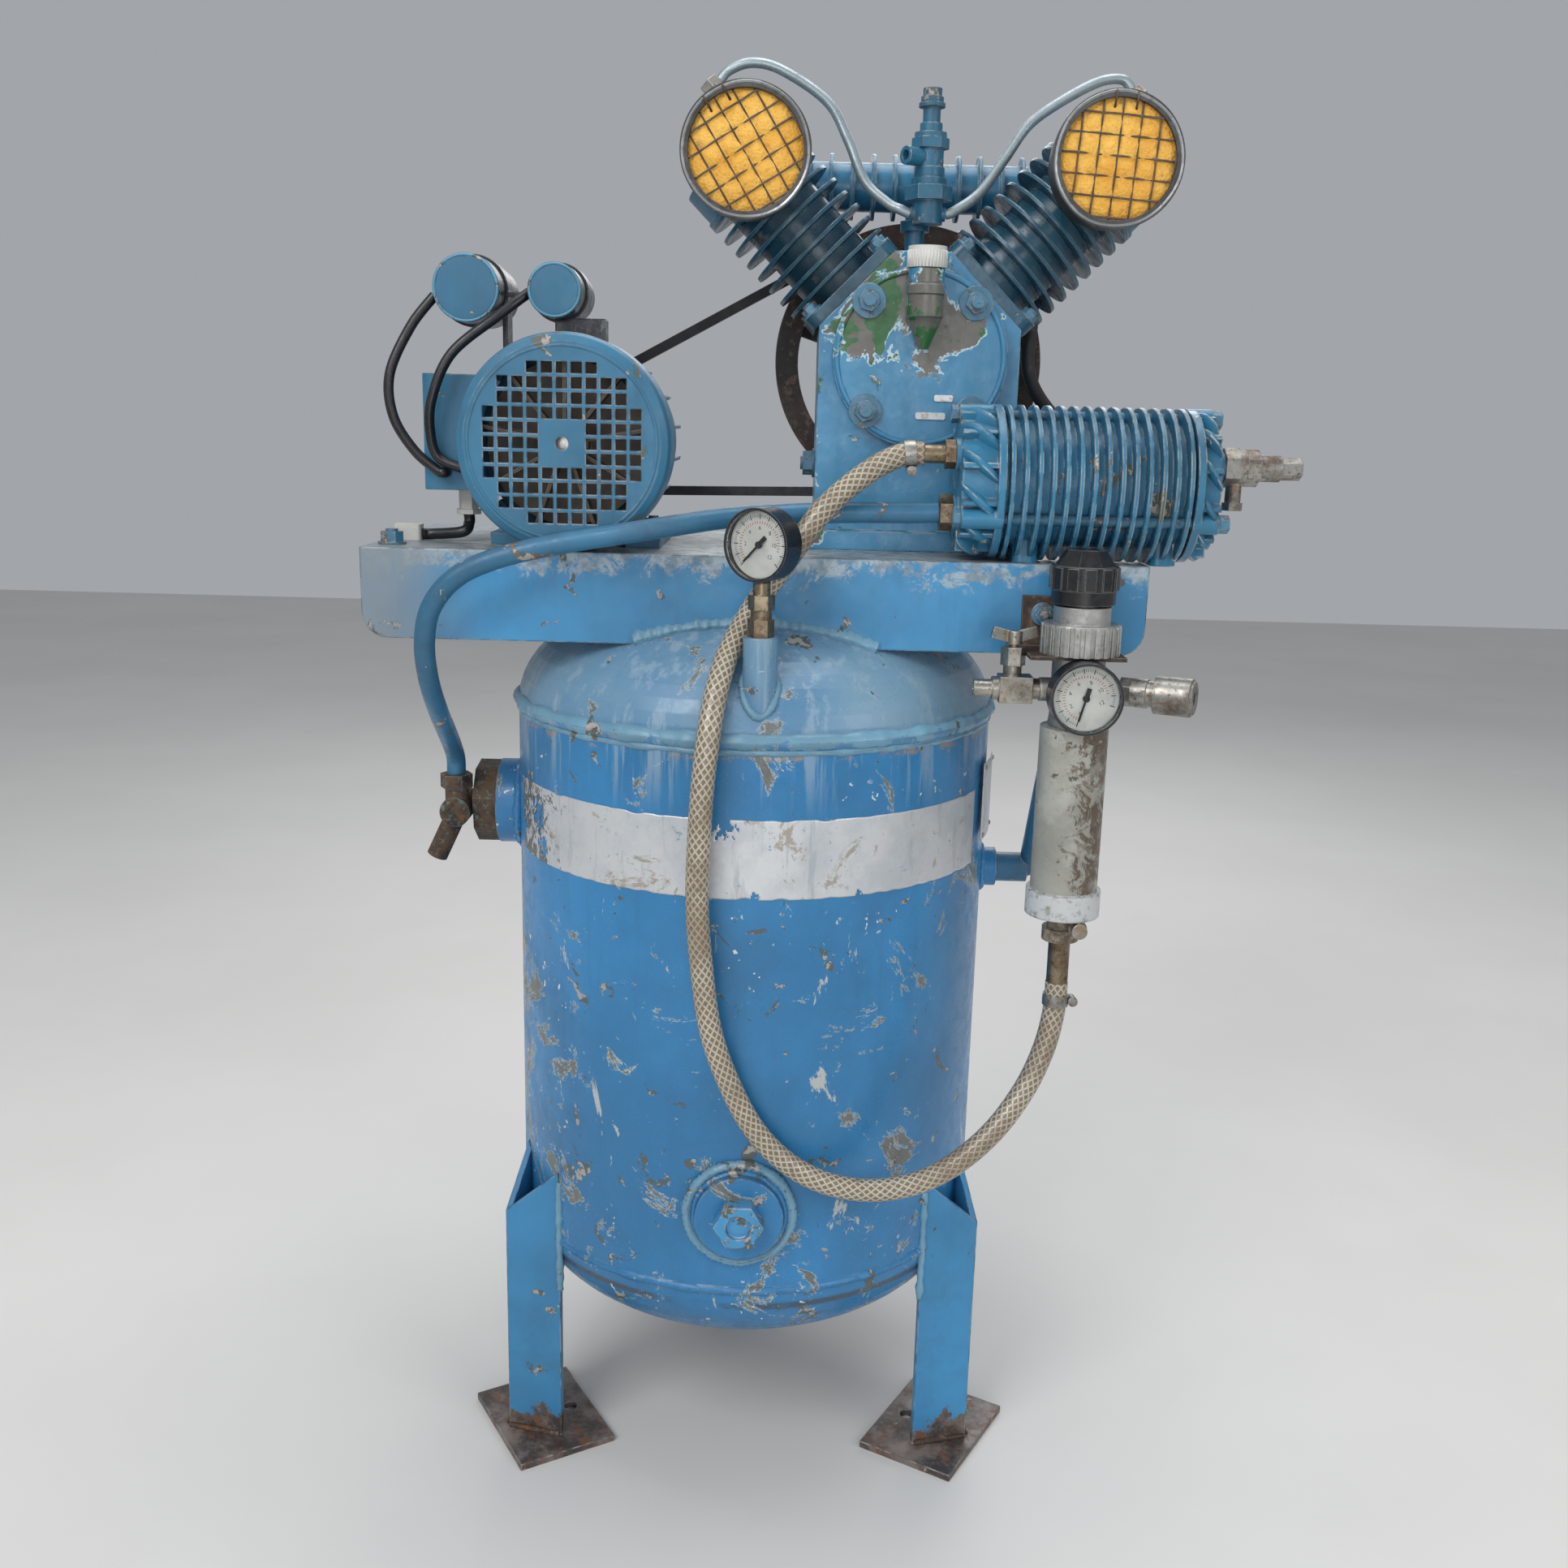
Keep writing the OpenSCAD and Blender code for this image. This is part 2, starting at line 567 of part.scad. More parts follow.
// Outline of the crankcase from the crankshaft's centre, set in by i
function case_outline(i) = let (a = case_w / 2 - i, s = sqrt(2) * (seat_r - i), h = seat_r + 8 - i)
    [[-a, -crank_h + 12 + i], [a, -crank_h + 12 + i], [a, s - a], [s - h, h], [h - s, h], [-a, s - a]];
module case_block(y, l, i) translate([pump_x, y + l, crank_z]) rotate([90, 0, 0]) linear_extrude(l)
    polygon(case_outline(i));
// Places a child on a cylinder bank: side -1 is left and 1 is right, local Z is the bore
bank_y = 10;
module bank(side) translate([pump_x, bank_y, crank_z]) rotate([0, 45 * side, 0]) children();
bore_r = bore_d / 2;
spigot_r = bore_r + 6;
spigot_l = 5;
case_open_r = cover_d / 2 - 20;
stud_r = cover_d / 2 - 10;
post_x = pump_x - 4;
post_y = bank_y + 4;
module crankcase() color(blue) difference() {
    union() {
        case_block(case_front, case_back - case_front, 0);
        translate([pump_x, (case_front + case_back) / 2, deck_top])
            round_block(case_w + 10, case_back - case_front + 14, 16, 4);
        rod_y([pump_x, case_back - 1, crank_z], crank_bearing_r + 8, 10);
    }
    case_block(case_front + case_wall, case_back - case_front - 2 * case_wall - 20, case_wall);
    rod_y([pump_x, case_front - 1, crank_z], case_open_r, case_wall + 2);
    rod_y([pump_x, case_back - 30, crank_z], crank_bearing_r, 36);
    rod_y([pump_x, case_back - 30, crank_z], crank_r + 2, 50);
    for (s = [-1, 1]) bank(s) translate([0, 0, seat_r - case_wall - 4]) cylinder(r = spigot_r,
        h = case_wall + 8);
}

cap_r = 15;
filler_x = pump_x + 1;
filler_y = case_front - cover_t - cap_r - 1;
filler_top = crank_z + 66;
module crankcase_cover() color(blue) difference() {
    union() {
        rod_y([pump_x, case_front - cover_t, crank_z], cover_d / 2, cover_t);
        rod_y([pump_x, case_front, crank_z], case_open_r, case_wall);
        translate([filler_x, filler_y, crank_z + 30]) cylinder(r = 14, h = filler_top - crank_z - 30);
        translate([filler_x - 14, filler_y, crank_z + 30]) cube([28, case_front - cover_t - filler_y,
            filler_top - crank_z - 34]);
        translate([filler_x, filler_y + 6, crank_z + 6]) cylinder(r1 = 4, r2 = 14, h = 24);
    }
    translate([filler_x, filler_y, crank_z + 40]) cylinder(r = 9, h = 60);
    rod_y([pump_x, case_front - 2, crank_z], case_open_r - 10, case_wall + 3);
    for (a = [45:90:315]) translate([pump_x, 0, crank_z]) rotate([0, a, 0])
        rod_y([0, case_front - cover_t - 1, stud_r], 5, cover_t + 2);
}
module oil_cap() color(white) {
    translate([filler_x, filler_y, filler_top + free_gap]) cylinder(r = cap_r, h = 16);
    translate([filler_x, filler_y, filler_top - 12]) cylinder(r = 9 - free_gap, h = 13);
}

barrel_r = bore_r + 8;
barrel_top = seat_r + fin_n * 12.5 + 16;
fin_start = seat_r + 20;
fin_pitch = (barrel_top - fin_start - fin_t) / (fin_n - 1);
base_w = 92;
module cylinder_barrel(side) bank(side) difference() {
    union() {
        translate([0, 0, seat_r]) round_block(base_w, base_w, 10, 10);
        translate([0, 0, seat_r - spigot_l]) cylinder(r = spigot_r, h = spigot_l + 1);
        translate([0, 0, seat_r]) cylinder(r = barrel_r, h = barrel_top - seat_r);
        for (k = [0:fin_n - 1]) translate([0, 0, fin_start + k * fin_pitch]) cylinder(r = fin_d / 2,
            h = fin_t);
    }
    translate([0, 0, seat_r - spigot_l - 1]) cylinder(r = bore_r, h = barrel_top);
    // Lead-in for the piston rings, which also clears the swinging rod
    translate([0, 0, seat_r - spigot_l - 0.1]) cylinder(r1 = bore_r + 3.5, r2 = bore_r, h = 9);
}
module cylinders() color(dark_blue) for (s = [-1, 1]) cylinder_barrel(s);

filter_x = 141;
filter_rise = 147;
stub_r = 12;
head_front = bank_y - fin_d / 2 + 2;
manifold_y = belt_y - 12;
port_r = 11;
head_port_t = barrel_top + head_t * 0.35;
port_x = head_port_t / sqrt(2);
head_fin_h = 16;
head_seat_t = barrel_top + head_t - head_fin_h;
head_stud = 26;
unloader_s = 26;
unloader_r = 14;
module head(side) bank(side) {
    translate([0, 0, barrel_top]) cylinder(r = fin_d / 2 - 2, h = head_t - head_fin_h);
    translate([0, 0, barrel_top]) cylinder(r = fin_d / 2, h = 4);
    difference() {
        for (x = [-3:3]) let (half = sqrt(pow(fin_d / 2 - 4, 2) - pow(12 * x, 2)))
            translate([x * 12 - 1.5, -half, head_seat_t - 1]) cube([3, 2 * half, head_fin_h + 1]);
        translate([-side * unloader_s, 0, head_seat_t]) cylinder(r = unloader_r + 1, h = 30);
        for (x = [-1, 1], y = [-1, 1])
            translate([x * head_stud, y * head_stud, head_seat_t]) cylinder(r = 9, h = 30);
    }
}
module heads() color(dark_blue) {
    for (s = [-1, 1]) head(s);
    for (s = [-1, 1]) {
        rod_y([pump_x + s * filter_x, head_front - 6, crank_z + filter_rise], stub_r, 22);
        rod_y([pump_x + s * port_x, bank_y + 36, crank_z + port_x], port_r + 6, fin_d / 2 - 30);
    }
}

crown = 24;
throw = stroke / 2;
wrist_t = throw * cos(45) + sqrt(pow(rod_l, 2) - pow(throw * sin(45), 2));
rod_tilt = asin(throw * sin(45) / rod_l);
wrist_pin_r = 6;
eye_w = 9;
module piston(side) color(steel) bank(side) {
    difference() {
        translate([0, 0, wrist_t - 20]) cylinder(r = bore_r - run_gap, h = 20 + crown);
        difference() {
            translate([0, 0, wrist_t - 21]) cylinder(r = bore_r - 5, h = 20 + crown - 5);
            rotate([-90, 0, 0]) translate([0, -wrist_t, -bore_r]) cylinder(r = wrist_pin_r, h = bore_d);
        }
        for (k = [0:2]) translate([0, 0, wrist_t + crown - 6 - 6 * k]) ring(bore_r + 1, 2, bore_r - 2);
    }
    // Piston rings, loose in their grooves
    for (k = [0:2]) translate([0, 0, wrist_t + crown - 6 - 6 * k + run_gap])
        ring(bore_r - run_gap, 2 - 2 * run_gap, bore_r - 2 + 2 * run_gap);
}
module piston_left() piston(-1);
module piston_right() piston(1);

// Rod with its small eye on the wrist pin and its big eye at the crankpin, between y and y + eye_w
module rod(side, y) color(steel) translate([0, y, 0]) bank(side)
    translate([0, 0, wrist_t]) rotate([0, side * rod_tilt, 0]) difference() {
        union() {
            rotate([-90, 0, 0]) cylinder(r = wrist_pin_r + 5, h = eye_w);
            translate([-3.5, 1, -rod_l + 12]) cube([7, eye_w - 2, rod_l - 20]);
            translate([0, 0, -rod_l]) rotate([-90, 0, 0]) cylinder(r = 17, h = eye_w);
        }
        rotate([-90, 0, 0]) translate([0, 0, -1]) cylinder(r = wrist_pin_r + run_gap, h = eye_w + 2);
        translate([0, -1, -rod_l]) rotate([-90, 0, 0]) cylinder(r = 10, h = eye_w + 2);
    }
module rod_left() rod(-1, -eye_w - free_gap);
module rod_right() rod(1, free_gap);

web_y = bank_y + eye_w + 2;
crank_end = belt_y + 18;
module crankshaft() color(steel) {
    rod_y([pump_x, web_y, crank_z], crank_r, crank_end - web_y);
    rod_y([pump_x, web_y, crank_z], 24, 8);
    translate([pump_x - 14, web_y, crank_z]) cube([28, 8, throw + 6]);
    translate([pump_x - 20, web_y, crank_z - 40]) cube([40, 8, 40]);
    rod_y([pump_x, web_y - 1, crank_z + throw], 9, 3);
}
module flywheel() color(rust) translate([pump_x, belt_y, crank_z]) {
    grooved_rim(flywheel_d / 2, flywheel_d / 2 - 20, flywheel_w);
    rod_y([0, -16, 0], 26, 32, crank_r);
    for (k = [0:4]) rotate([0, 72 * k, 0]) translate([-9, -6, 20])
        cube([18, 12, flywheel_d / 2 - 38]);
}

can_front = head_front - 6 - filter_l;
module filter_can(side) translate([pump_x + side * filter_x, can_front, crank_z + filter_rise])
    difference() {
    union() {
        rod_y([0, 0, 0], filter_d / 2 - 3, filter_l);
        rod_y([0, 0, 0], filter_d / 2, 6);
    }
    rod_y([0, -1, 0], filter_d / 2 - 6, filter_l - 1);
    rod_y([0, -1, 0], stub_r - 4, filter_l + 4);
}
module filter_cans() color(steel) for (s = [-1, 1]) filter_can(s);
module filter_elements() color(foam) for (s = [-1, 1])
    rod_y([pump_x + s * filter_x, can_front + 5, crank_z + filter_rise], filter_d / 2 - 6.5, filter_l - 12);

manifold_r = 20;
manifold_fin_r = 27;
manifold_z = crank_z + port_x;
manifold_fins = 11;
manifold_out = [pump_x + 103, manifold_y - 8, manifold_z - 24];
module manifold() color(blue) {
    rod_x([pump_x - port_x - port_r, manifold_y, manifold_z], manifold_r - 4, 2 * (port_x + port_r));
    rod_x([pump_x - 96, manifold_y, manifold_z], manifold_r, 192);
    for (k = [0:manifold_fins - 1])
        rod_x([pump_x - 92 + k * (181 / (manifold_fins - 1)), manifold_y, manifold_z], manifold_fin_r, 3);
    for (s = [-1, 1])
        rod_y([pump_x + s * port_x, bank_y + fin_d / 2 + 6, manifold_z], port_r,
            manifold_y - bank_y - fin_d / 2 - 6);
    rod_z([manifold_out.x, manifold_out.y, manifold_out.z], 9, 16);
}

stack_x = pump_x + 4;
stack_y = bank_y - 22;
stack_z = crank_z + 105;
module pilot_valve() color(blue) {
    translate([stack_x, stack_y, stack_z]) {
        cylinder(r = 12, h = 20);
        rod_x([-14, 0, 8], 5.5, 28);
        translate([0, 0, 18]) hex(19, 11);
        translate([0, 0, 29]) cylinder(r = 12, h = 14);
        translate([0, 0, 29]) cylinder(r = 14, h = 6);
        translate([0, 0, 43]) cylinder(r = 11, h = 14);
        translate([0, 0, 57]) hex(15, 8);
        translate([0, 0, 65]) cylinder(r = 13, h = 4);
        translate([0, 0, 69]) cylinder(r = 9, h = 7);
        translate([0, 0, 76]) cylinder(r = 7, h = 12);
        translate([0, 0, 88]) cylinder(r = 10.5, h = 3);
        translate([0, 0, 91]) hex(9, 5);
        translate([0, 0, 96]) cylinder(r = 7.5, h = 6);
        translate([0, 0, 50]) rotate([0, -90, 35]) difference() {
            cylinder(r = 7, h = 25);
            translate([0, 0, 14]) cylinder(r = 4, h = 20);
        }
        translate([0, 0, 10]) rotate([-90, 0, 0]) cylinder(r = 7, h = post_y - stack_y);
    }
    translate([post_x, post_y, crank_z + seat_r + 8]) {
        cylinder(r = 8, h = 34);
        translate([0, 0, 20]) cylinder(r = 12, h = 8);
    }
}

unloader_l = 42;
tap_r = 9;
module unloader(side) bank(side) translate([-side * unloader_s, 0, head_seat_t]) {
    cylinder(r = unloader_r, h = unloader_l);
    translate([0, 0, unloader_l]) rotate(30) hex(tap_r, 12);
}
// Middle of the flat of an unloader's hexagon, where its tube starts
tap_s = unloader_s + tap_r * cos(30);
tap_t = head_seat_t + unloader_l + 6;
function tap_at(side) = [pump_x + side * (tap_t - tap_s) / sqrt(2), bank_y, crank_z + (tap_t + tap_s)
    / sqrt(2)];
module unloaders() color(steel) for (s = [-1, 1]) unloader(s);
tube_mid = stack_z + 8;
left_tube = [tap_at(-1), tap_at(-1) + [8, 0, 8], [pump_x - 140, bank_y, crank_z + 227],
    [pump_x - 116, bank_y, crank_z + 222], [pump_x - 79, bank_y - 2, crank_z + 199],
    [pump_x - 61, bank_y - 6, crank_z + 169], [pump_x - 47, bank_y - 12, crank_z + 138],
    [pump_x - 28, bank_y - 18, crank_z + 121], [stack_x - 22, stack_y, tube_mid + 3], [stack_x - 14,
        stack_y, tube_mid]];
right_tube = [[stack_x + 14, stack_y, tube_mid], [stack_x + 22, stack_y, tube_mid + 3],
    [pump_x + 46, bank_y - 16, crank_z + 131], [pump_x + 66, bank_y - 8, crank_z + 159], [pump_x + 84,
        bank_y - 2, crank_z + 185],
    [pump_x + 108, bank_y, crank_z + 203], [pump_x + 138, bank_y, crank_z + 219], tap_at(1) + [-8, 0, 8],
        tap_at(1)];
module unloader_tubes() color(steel) {
    tube(left_tube, 8, 8, 3);
    tube(right_tube, 8, 8, 3);
}

// ---------- aftercooler ----------

cover_l = 32;
end_cover_l = 20;
cooler_end = cooler_x + cooler_l;
barrel_l = cooler_l - cover_l - end_cover_l;
cooler_core_r = cooler_r - 12;
bolt_r = cooler_r - 9;
bolt_angles = [90, 210, 330];
// Point on the cooler's end, r out from its axis at angle a
function cooler_at(x, r, a) = [x, cooler_y - r * cos(a), cooler_z + r * sin(a)];
hose_port = [cooler_x, cooler_y - cooler_r + 34, cooler_z + cooler_r * 0.35];
pipe_port = [cooler_x, pipe_y, pipe_z];
relief_port = [cooler_end, cooler_y - 22, cooler_z + 16];
back_port = [cooler_end - 10, cooler_y + cooler_r - 6, cooler_z];
module cooler_barrel() color(blue) difference() {
    union() {
        rod_x([cooler_x + cover_l, cooler_y, cooler_z], cooler_core_r, barrel_l);
        for (k = [0:cooler_fins - 1])
            rod_x([cooler_x + cover_l + 3 + k * (barrel_l - 9) / (cooler_fins - 1), cooler_y, cooler_z],
                cooler_r - 1, 3.2);
        for (x = [0.28, 0.83]) translate([cooler_x + cooler_l * x, cooler_y, deck_top]) round_block(20,
            46, cooler_r - cooler_core_r + 6, 6);
    }
    rod_x([cooler_x + cover_l - 1, cooler_y, cooler_z], cooler_core_r - 6, barrel_l + 2);
    for (a = bolt_angles) rod_x(cooler_at(cooler_x, bolt_r, a), 4.2, cooler_l);
}
module cooler_cover(x, l, face) {
    rod_x([x, cooler_y, cooler_z], cooler_core_r, l);
    rod_x([face < 0 ? x + l - 6 : x, cooler_y, cooler_z], cooler_r - 2, 6);
    for (k = [0:11]) translate([x, cooler_y, cooler_z]) rotate([30 * k + 15, 0, 0])
        translate([0, -2, cooler_core_r - 4]) cube([l, 4, 11]);
    for (a = bolt_angles) rod_x(cooler_at(x, bolt_r, a), 8, l);
}
module cooler_covers() color(blue) difference() {
    union() {
        cooler_cover(cooler_x, cover_l, -1);
        cooler_cover(cooler_end - end_cover_l, end_cover_l, 1);
        rod_x(hose_port - [4, 0, 0], 12, 14);
        rod_x(pipe_port - [4, 0, 0], 13, 14);
        rod_x(relief_port - [10, 0, 0], 12, 16);
        rod_y(back_port - [0, 14, 0], 8.5, 20);
    }
    rod_x([cooler_x + 6, cooler_y, cooler_z], cooler_core_r - 6, cover_l);
    rod_x([cooler_end - end_cover_l - 1, cooler_y, cooler_z], cooler_core_r - 6, end_cover_l - 5);
    rod_x(hose_port - [5, 0, 0], 6, 20);
    rod_x(pipe_port - [5, 0, 0], 6, 20);
    rod_x(relief_port - [12, 0, 0], 6, 20);
    for (a = bolt_angles) rod_x(cooler_at(cooler_x - 1, bolt_r, a), 4.2, cooler_l + 2);
}
relief_x = relief_port.x + 6;
module relief_valve() color(steel) translate([relief_x, relief_port.y, relief_port.z]) {
    rotate([0, 90, 0]) hex(15, 12);
    rod_x([12, 0, 0], 13, 5);
    translate([17, 0, 0]) rotate([0, 90, 0]) hex(14, 10);
    rod_x([27, 0, 0], 6, 20);
    rod_x([-6, 0, 0], 6, 6);
    translate([10, 0, -22]) cylinder(r = 6, h = 12);
    translate([10, 0, -32]) hex(8, 6);
    translate([10, 0, -26]) cylinder(r = 6, h = 6);
}
module relief_ring() color(steel) translate([relief_x + 27 + free_gap, relief_port.y, relief_port.z])
    difference() {
    union() {
        rod_x([0, 0, 0], 10, 16);
        translate([16, 0, 0]) rotate([0, 90, 0]) hex(8.5, 16);
    }
    rod_x([-1, 0, 0], 6 + run_gap, 23);
}
hose_in = [manifold_out, manifold_out - [0, 0, 12],
    [pump_x + 104, manifold_y - 14, manifold_z - 62], [pump_x + 105, manifold_y - 16, manifold_z - 110],
    [pump_x + 104, manifold_y - 16, manifold_z - 145], [pump_x + 115, manifold_y - 20, manifold_z - 172],
    [pump_x + 140, manifold_y - 36, manifold_z - 200], [pump_x + 172, manifold_y - 72, manifold_z - 222],
    [back_port.x - 4, back_port.y + 28, back_port.z + 2], [back_port.x, back_port.y + 16, back_port.z],
    [back_port.x, back_port.y + 6, back_port.z]];
module delivery_hose() color(black) tube(hose_in, 12, 10, 3);

// ---------- fasteners ----------

module nut(l = 7, r = 8) {
    cylinder(r = r + 2, h = 2);
    translate([0, 0, 2]) hex(r, l);
    translate([0, 0, 2]) cylinder(r = r * 0.55, h = l + 2);
}
motor_bolt_x = foot_w / 2 - 14;
module fasteners() color(steel) {
    for (a = [45:90:315]) translate([pump_x, 0, crank_z]) rotate([0, a, 0]) {
        translate([0, case_front - cover_t, stud_r]) rotate([90, 0, 0]) {
            cylinder(r = 13.5, h = 3);
            translate([0, 0, 3]) hex(9, 7);
            cylinder(r = 5, h = 16);
        }
    }
    for (s = [-1, 1]) bank(s) {
        for (x = [-1, 1], y = [-1, 1]) {
            translate([x * (base_w / 2 - 9), y * (base_w / 2 - 9), seat_r + 10]) nut(5, 7);
            translate([x * head_stud, y * head_stud, head_seat_t]) hex(7, 8);
        }
    }
    for (a = bolt_angles) {
        translate(cooler_at(cooler_x, bolt_r, a)) rotate([0, -90, 0]) hex(7, 6);
        translate(cooler_at(cooler_end, bolt_r, a)) rotate([0, 90, 0]) hex(7, 8);
        rod_x(cooler_at(cooler_x, bolt_r, a), 4, cooler_l);
    }
    for (x = [-1, 1], y = [frame_y + 32, frame_end - 32])
        translate([motor_x + x * motor_bolt_x, y, deck_top + foot_t]) nut(6, 8);
    translate([-288, -96, deck_top]) nut(8, 9);
    // Under the deck, holding the crankcase, and on the regulator's bracket
    for (x = [-60, 60], y = [-28, 50]) translate([pump_x + x, y, deck_top - deck_t]) mirror([0, 0, 1])
        nut(6, 8);
    translate([reg_x - 24, deck_front - bracket_t, bracket_z + 28]) {
        rotate([90, 0, 0]) nut(5, 7);
        rod_y([0, 0, 0], 6, bracket_t);
    }
    translate([pump_x - case_w / 2, bank_y, crank_z - 86]) rotate([0, -90, 0]) nut(8, 10);
}

// ---------- hose and small pipe fittings ----------

hose_d = 18;
barb_l = 24;
reg_drain_z = reg_axis_z - body_drop - bowl_l - 12;
hose_route = [[127, -129, 865], [112, -129, 864], [92, -132, 855], [70, -138, 839], [50, -146, 820],
    [33, -151, 796], [15, -154, 770], [-3, -161, 742], [-17, -179, 716], [-23, -195, 698], [-27, -207, 678],
    [-30, -216, 654], [-33, -219, 624], [-35, -219, 585], [-36, -219, 530], [-32, -219, 480], [-25, -219,
        432], [-12, -219, 392],
    [8, -219, 352], [32, -218, 324], [62, -217, 305], [98, -214, 296], [134, -210, 299], [168, -203, 313],
    [200, -193, 338], [225, -182, 370], [240, -174, 402], [247, -169, 432], [248, -168, 458]];
module air_hose() color([0.62, 0.55, 0.4]) tube(hose_route, hose_d, 12, 2);

stem_z = gauge_boss_top;
gauge_z = stem_z + 41 + gauge_d / 2;
module pipe_fittings() color(brass) {
    // Hose tail on the cooler with its clip
    translate(hose_port - [4, 0, 0]) rotate([0, -90, 0]) {
        hex(11, 8);
        cylinder(r = 7, h = barb_l);
    }
    // Hose tail under the bowl with its clip
    translate([reg_x, reg_y, reg_drain_z - 66]) {
        cylinder(r = 8.5, h = 20);
        translate([0, 0, 18]) cylinder(r = 8.5, h = 18);
    }
    // Gauge stem on the tank
    translate([gauge_x, gauge_y, stem_z]) {
        translate([0, 0, -8]) cylinder(r = gauge_bore_r, h = 8);
        hex(10, 13);
        translate([0, 0, 13]) cylinder(r = 8, h = 7);
        translate([0, 0, 20]) hex(10, 11);
        translate([0, 0, 31]) cylinder(r = 6.5, h = 9);
    }
    // Union nut of the discharge pipe
    translate(pipe_port - [4, 0, 0]) rotate([0, -90, 0]) hex(14, 10);
}

// ---------- gauges ----------

gauge_r = gauge_d / 2;
gauge_l = 22;
gauge_turn = -30;
// Places a child on a gauge: local -Y is its face and the origin is on its axis
module at_tank_gauge() translate([gauge_x, gauge_y, gauge_z]) rotate([0, 0, gauge_turn]) children();
reg_gauge_y = reg_y - body_r - 2 - gauge_l / 2;
reg_gauge_roll = -30;
module at_reg_gauge() translate([reg_x, reg_gauge_y, reg_axis_z]) rotate([0, reg_gauge_roll, 0]) children();
module gauge_case() {
    difference() {
        rod_y([0, -gauge_l / 2, 0], gauge_r, gauge_l);
        rod_y([0, -gauge_l / 2 - 1, 0], gauge_r - 2, 9);
    }
}
module gauge_cases() color(black) {
    at_tank_gauge() {
        gauge_case();
        translate([0, 0, -gauge_r - 1]) cylinder(r = 6.5, h = 2.5);
    }
    at_reg_gauge() gauge_case();
}
dial_y = -gauge_l / 2 + 7;
module dial() rod_y([0, dial_y, 0], gauge_r - 2.3, 1 - run_gap, 1.5);
module gauge_dials() color(white) {
    at_tank_gauge() dial();
    at_reg_gauge() dial();
}
module lens() rod_y([0, -gauge_l / 2 + 0.8, 0], gauge_r - 2.2, 1.6);
module gauge_lenses() color([0.85, 0.92, 0.95]) {
    at_tank_gauge() lens();
    at_reg_gauge() lens();
}
module needle() {
    rod_y([0, dial_y - 2.4, 0], 2.6, 1.8);
    rod_y([0, dial_y - 1, 0], 1.5 - run_gap, 1.8);
    translate([-0.7, dial_y - 2, 0]) cube([1.4, 0.8, gauge_r - 9]);
    translate([-1.6, dial_y - 2, -8]) cube([3.2, 0.8, 8]);
}
needle_zero = -135;
module tank_gauge_needle() color(black) at_tank_gauge() rotate([0, needle_zero, 0]) needle();
module regulator_gauge_needle() color(black) at_reg_gauge() rotate([0, needle_zero, 0]) needle();

// ---------- filter regulator ----------

bracket_t = 3;
ring_top_z = bracket_z + bracket_t;
bonnet_r = 21.5;
bonnet_l = 38;
knob_z = ring_top_z + bonnet_l;
knob_r = knob_d / 2;
arm_r = 9;
module regulator_bracket() color(rust) difference() {
    union() {
        translate([reg_x - 40, reg_y - body_r - 1, bracket_z]) cube([72, deck_front - reg_y + body_r + 1,
            bracket_t]);
        translate([reg_x - 40, deck_front - bracket_t, bracket_z]) cube([32, bracket_t, 42]);
    }
    rod_z([reg_x, reg_y, bracket_z - 1], bonnet_r - 5, bracket_t + 2);
    rod_y([reg_x - 24, deck_front - bracket_t - 1, bracket_z + 28], 6, bracket_t + 2);
}
module regulator_body() color(steel) {
    translate([reg_x, reg_y, 0]) {
        // Body under the bracket, neck through it, knurled lock ring and bonnet above it
        translate([0, 0, reg_axis_z - body_drop]) cylinder(r = body_r,
            h = bracket_z - reg_axis_z + body_drop);
        translate([0, 0, bracket_z - 1]) cylinder(r = bonnet_r - 5, h = bracket_t + 2);
        translate([0, 0, ring_top_z]) cylinder(r = 28, h = 23);
        for (k = [0:23]) rotate([0, 0, 15 * k]) translate([26, -2, ring_top_z]) cube([4, 4, 22]);
        translate([0, 0, ring_top_z + 22]) cylinder(r = bonnet_r, h = 14);
        translate([0, 0, ring_top_z + 34]) cylinder(r = 12, h = 14);
    }
    rod_x([reg_x - 29, reg_y, reg_axis_z], arm_r, 58);
    rod_y([reg_x, reg_y - body_r - 2, reg_axis_z], 9, 12);
    rod_y([reg_x, reg_y + 15, reg_axis_z], 12, 9);
}
module regulator_knob() color(black) translate([reg_x, reg_y, knob_z]) difference() {
    union() {
        cylinder(r = knob_r - 2, h = 12);
        translate([0, 0, 10]) cylinder(r = knob_r - 1, h = 18);
        for (k = [0:11]) rotate([0, 0, 30 * k]) translate([knob_r - 3, -4, 11]) cube([3, 8, 16]);
        translate([0, 0, 28]) rotate(22.5) cylinder(r1 = knob_r - 3, r2 = 15, h = 12, $fn = 8);
    }
    translate([0, 0, -1]) cylinder(r = 12 + run_gap, h = 13);
}
tap_y = reg_y;
tap_x = reg_x - 29;
tap_stem_x = tap_x - 21;
module tap_body() color(brass) {
    rod_x([tap_x - 6, tap_y, reg_axis_z], 8, 6);
    translate([tap_x - 31, tap_y - 10, reg_axis_z - 10]) cube([25, 20, 20]);
    rod_x([tap_x - 36, tap_y, reg_axis_z], 9, 5);
    difference() {
        rod_x([tap_x - 50, tap_y, reg_axis_z], 6.6, 14);
        rod_x([tap_x - 51, tap_y, reg_axis_z], 4, 14);
    }
    difference() {
        translate([tap_stem_x, tap_y, reg_axis_z + 10]) {
            cylinder(r = 7, h = 8);
            translate([0, 0, 8]) hex(9.5, 14);
        }
        translate([tap_stem_x, tap_y, reg_axis_z + 12]) cylinder(r = 3 + run_gap, h = 30);
    }
}
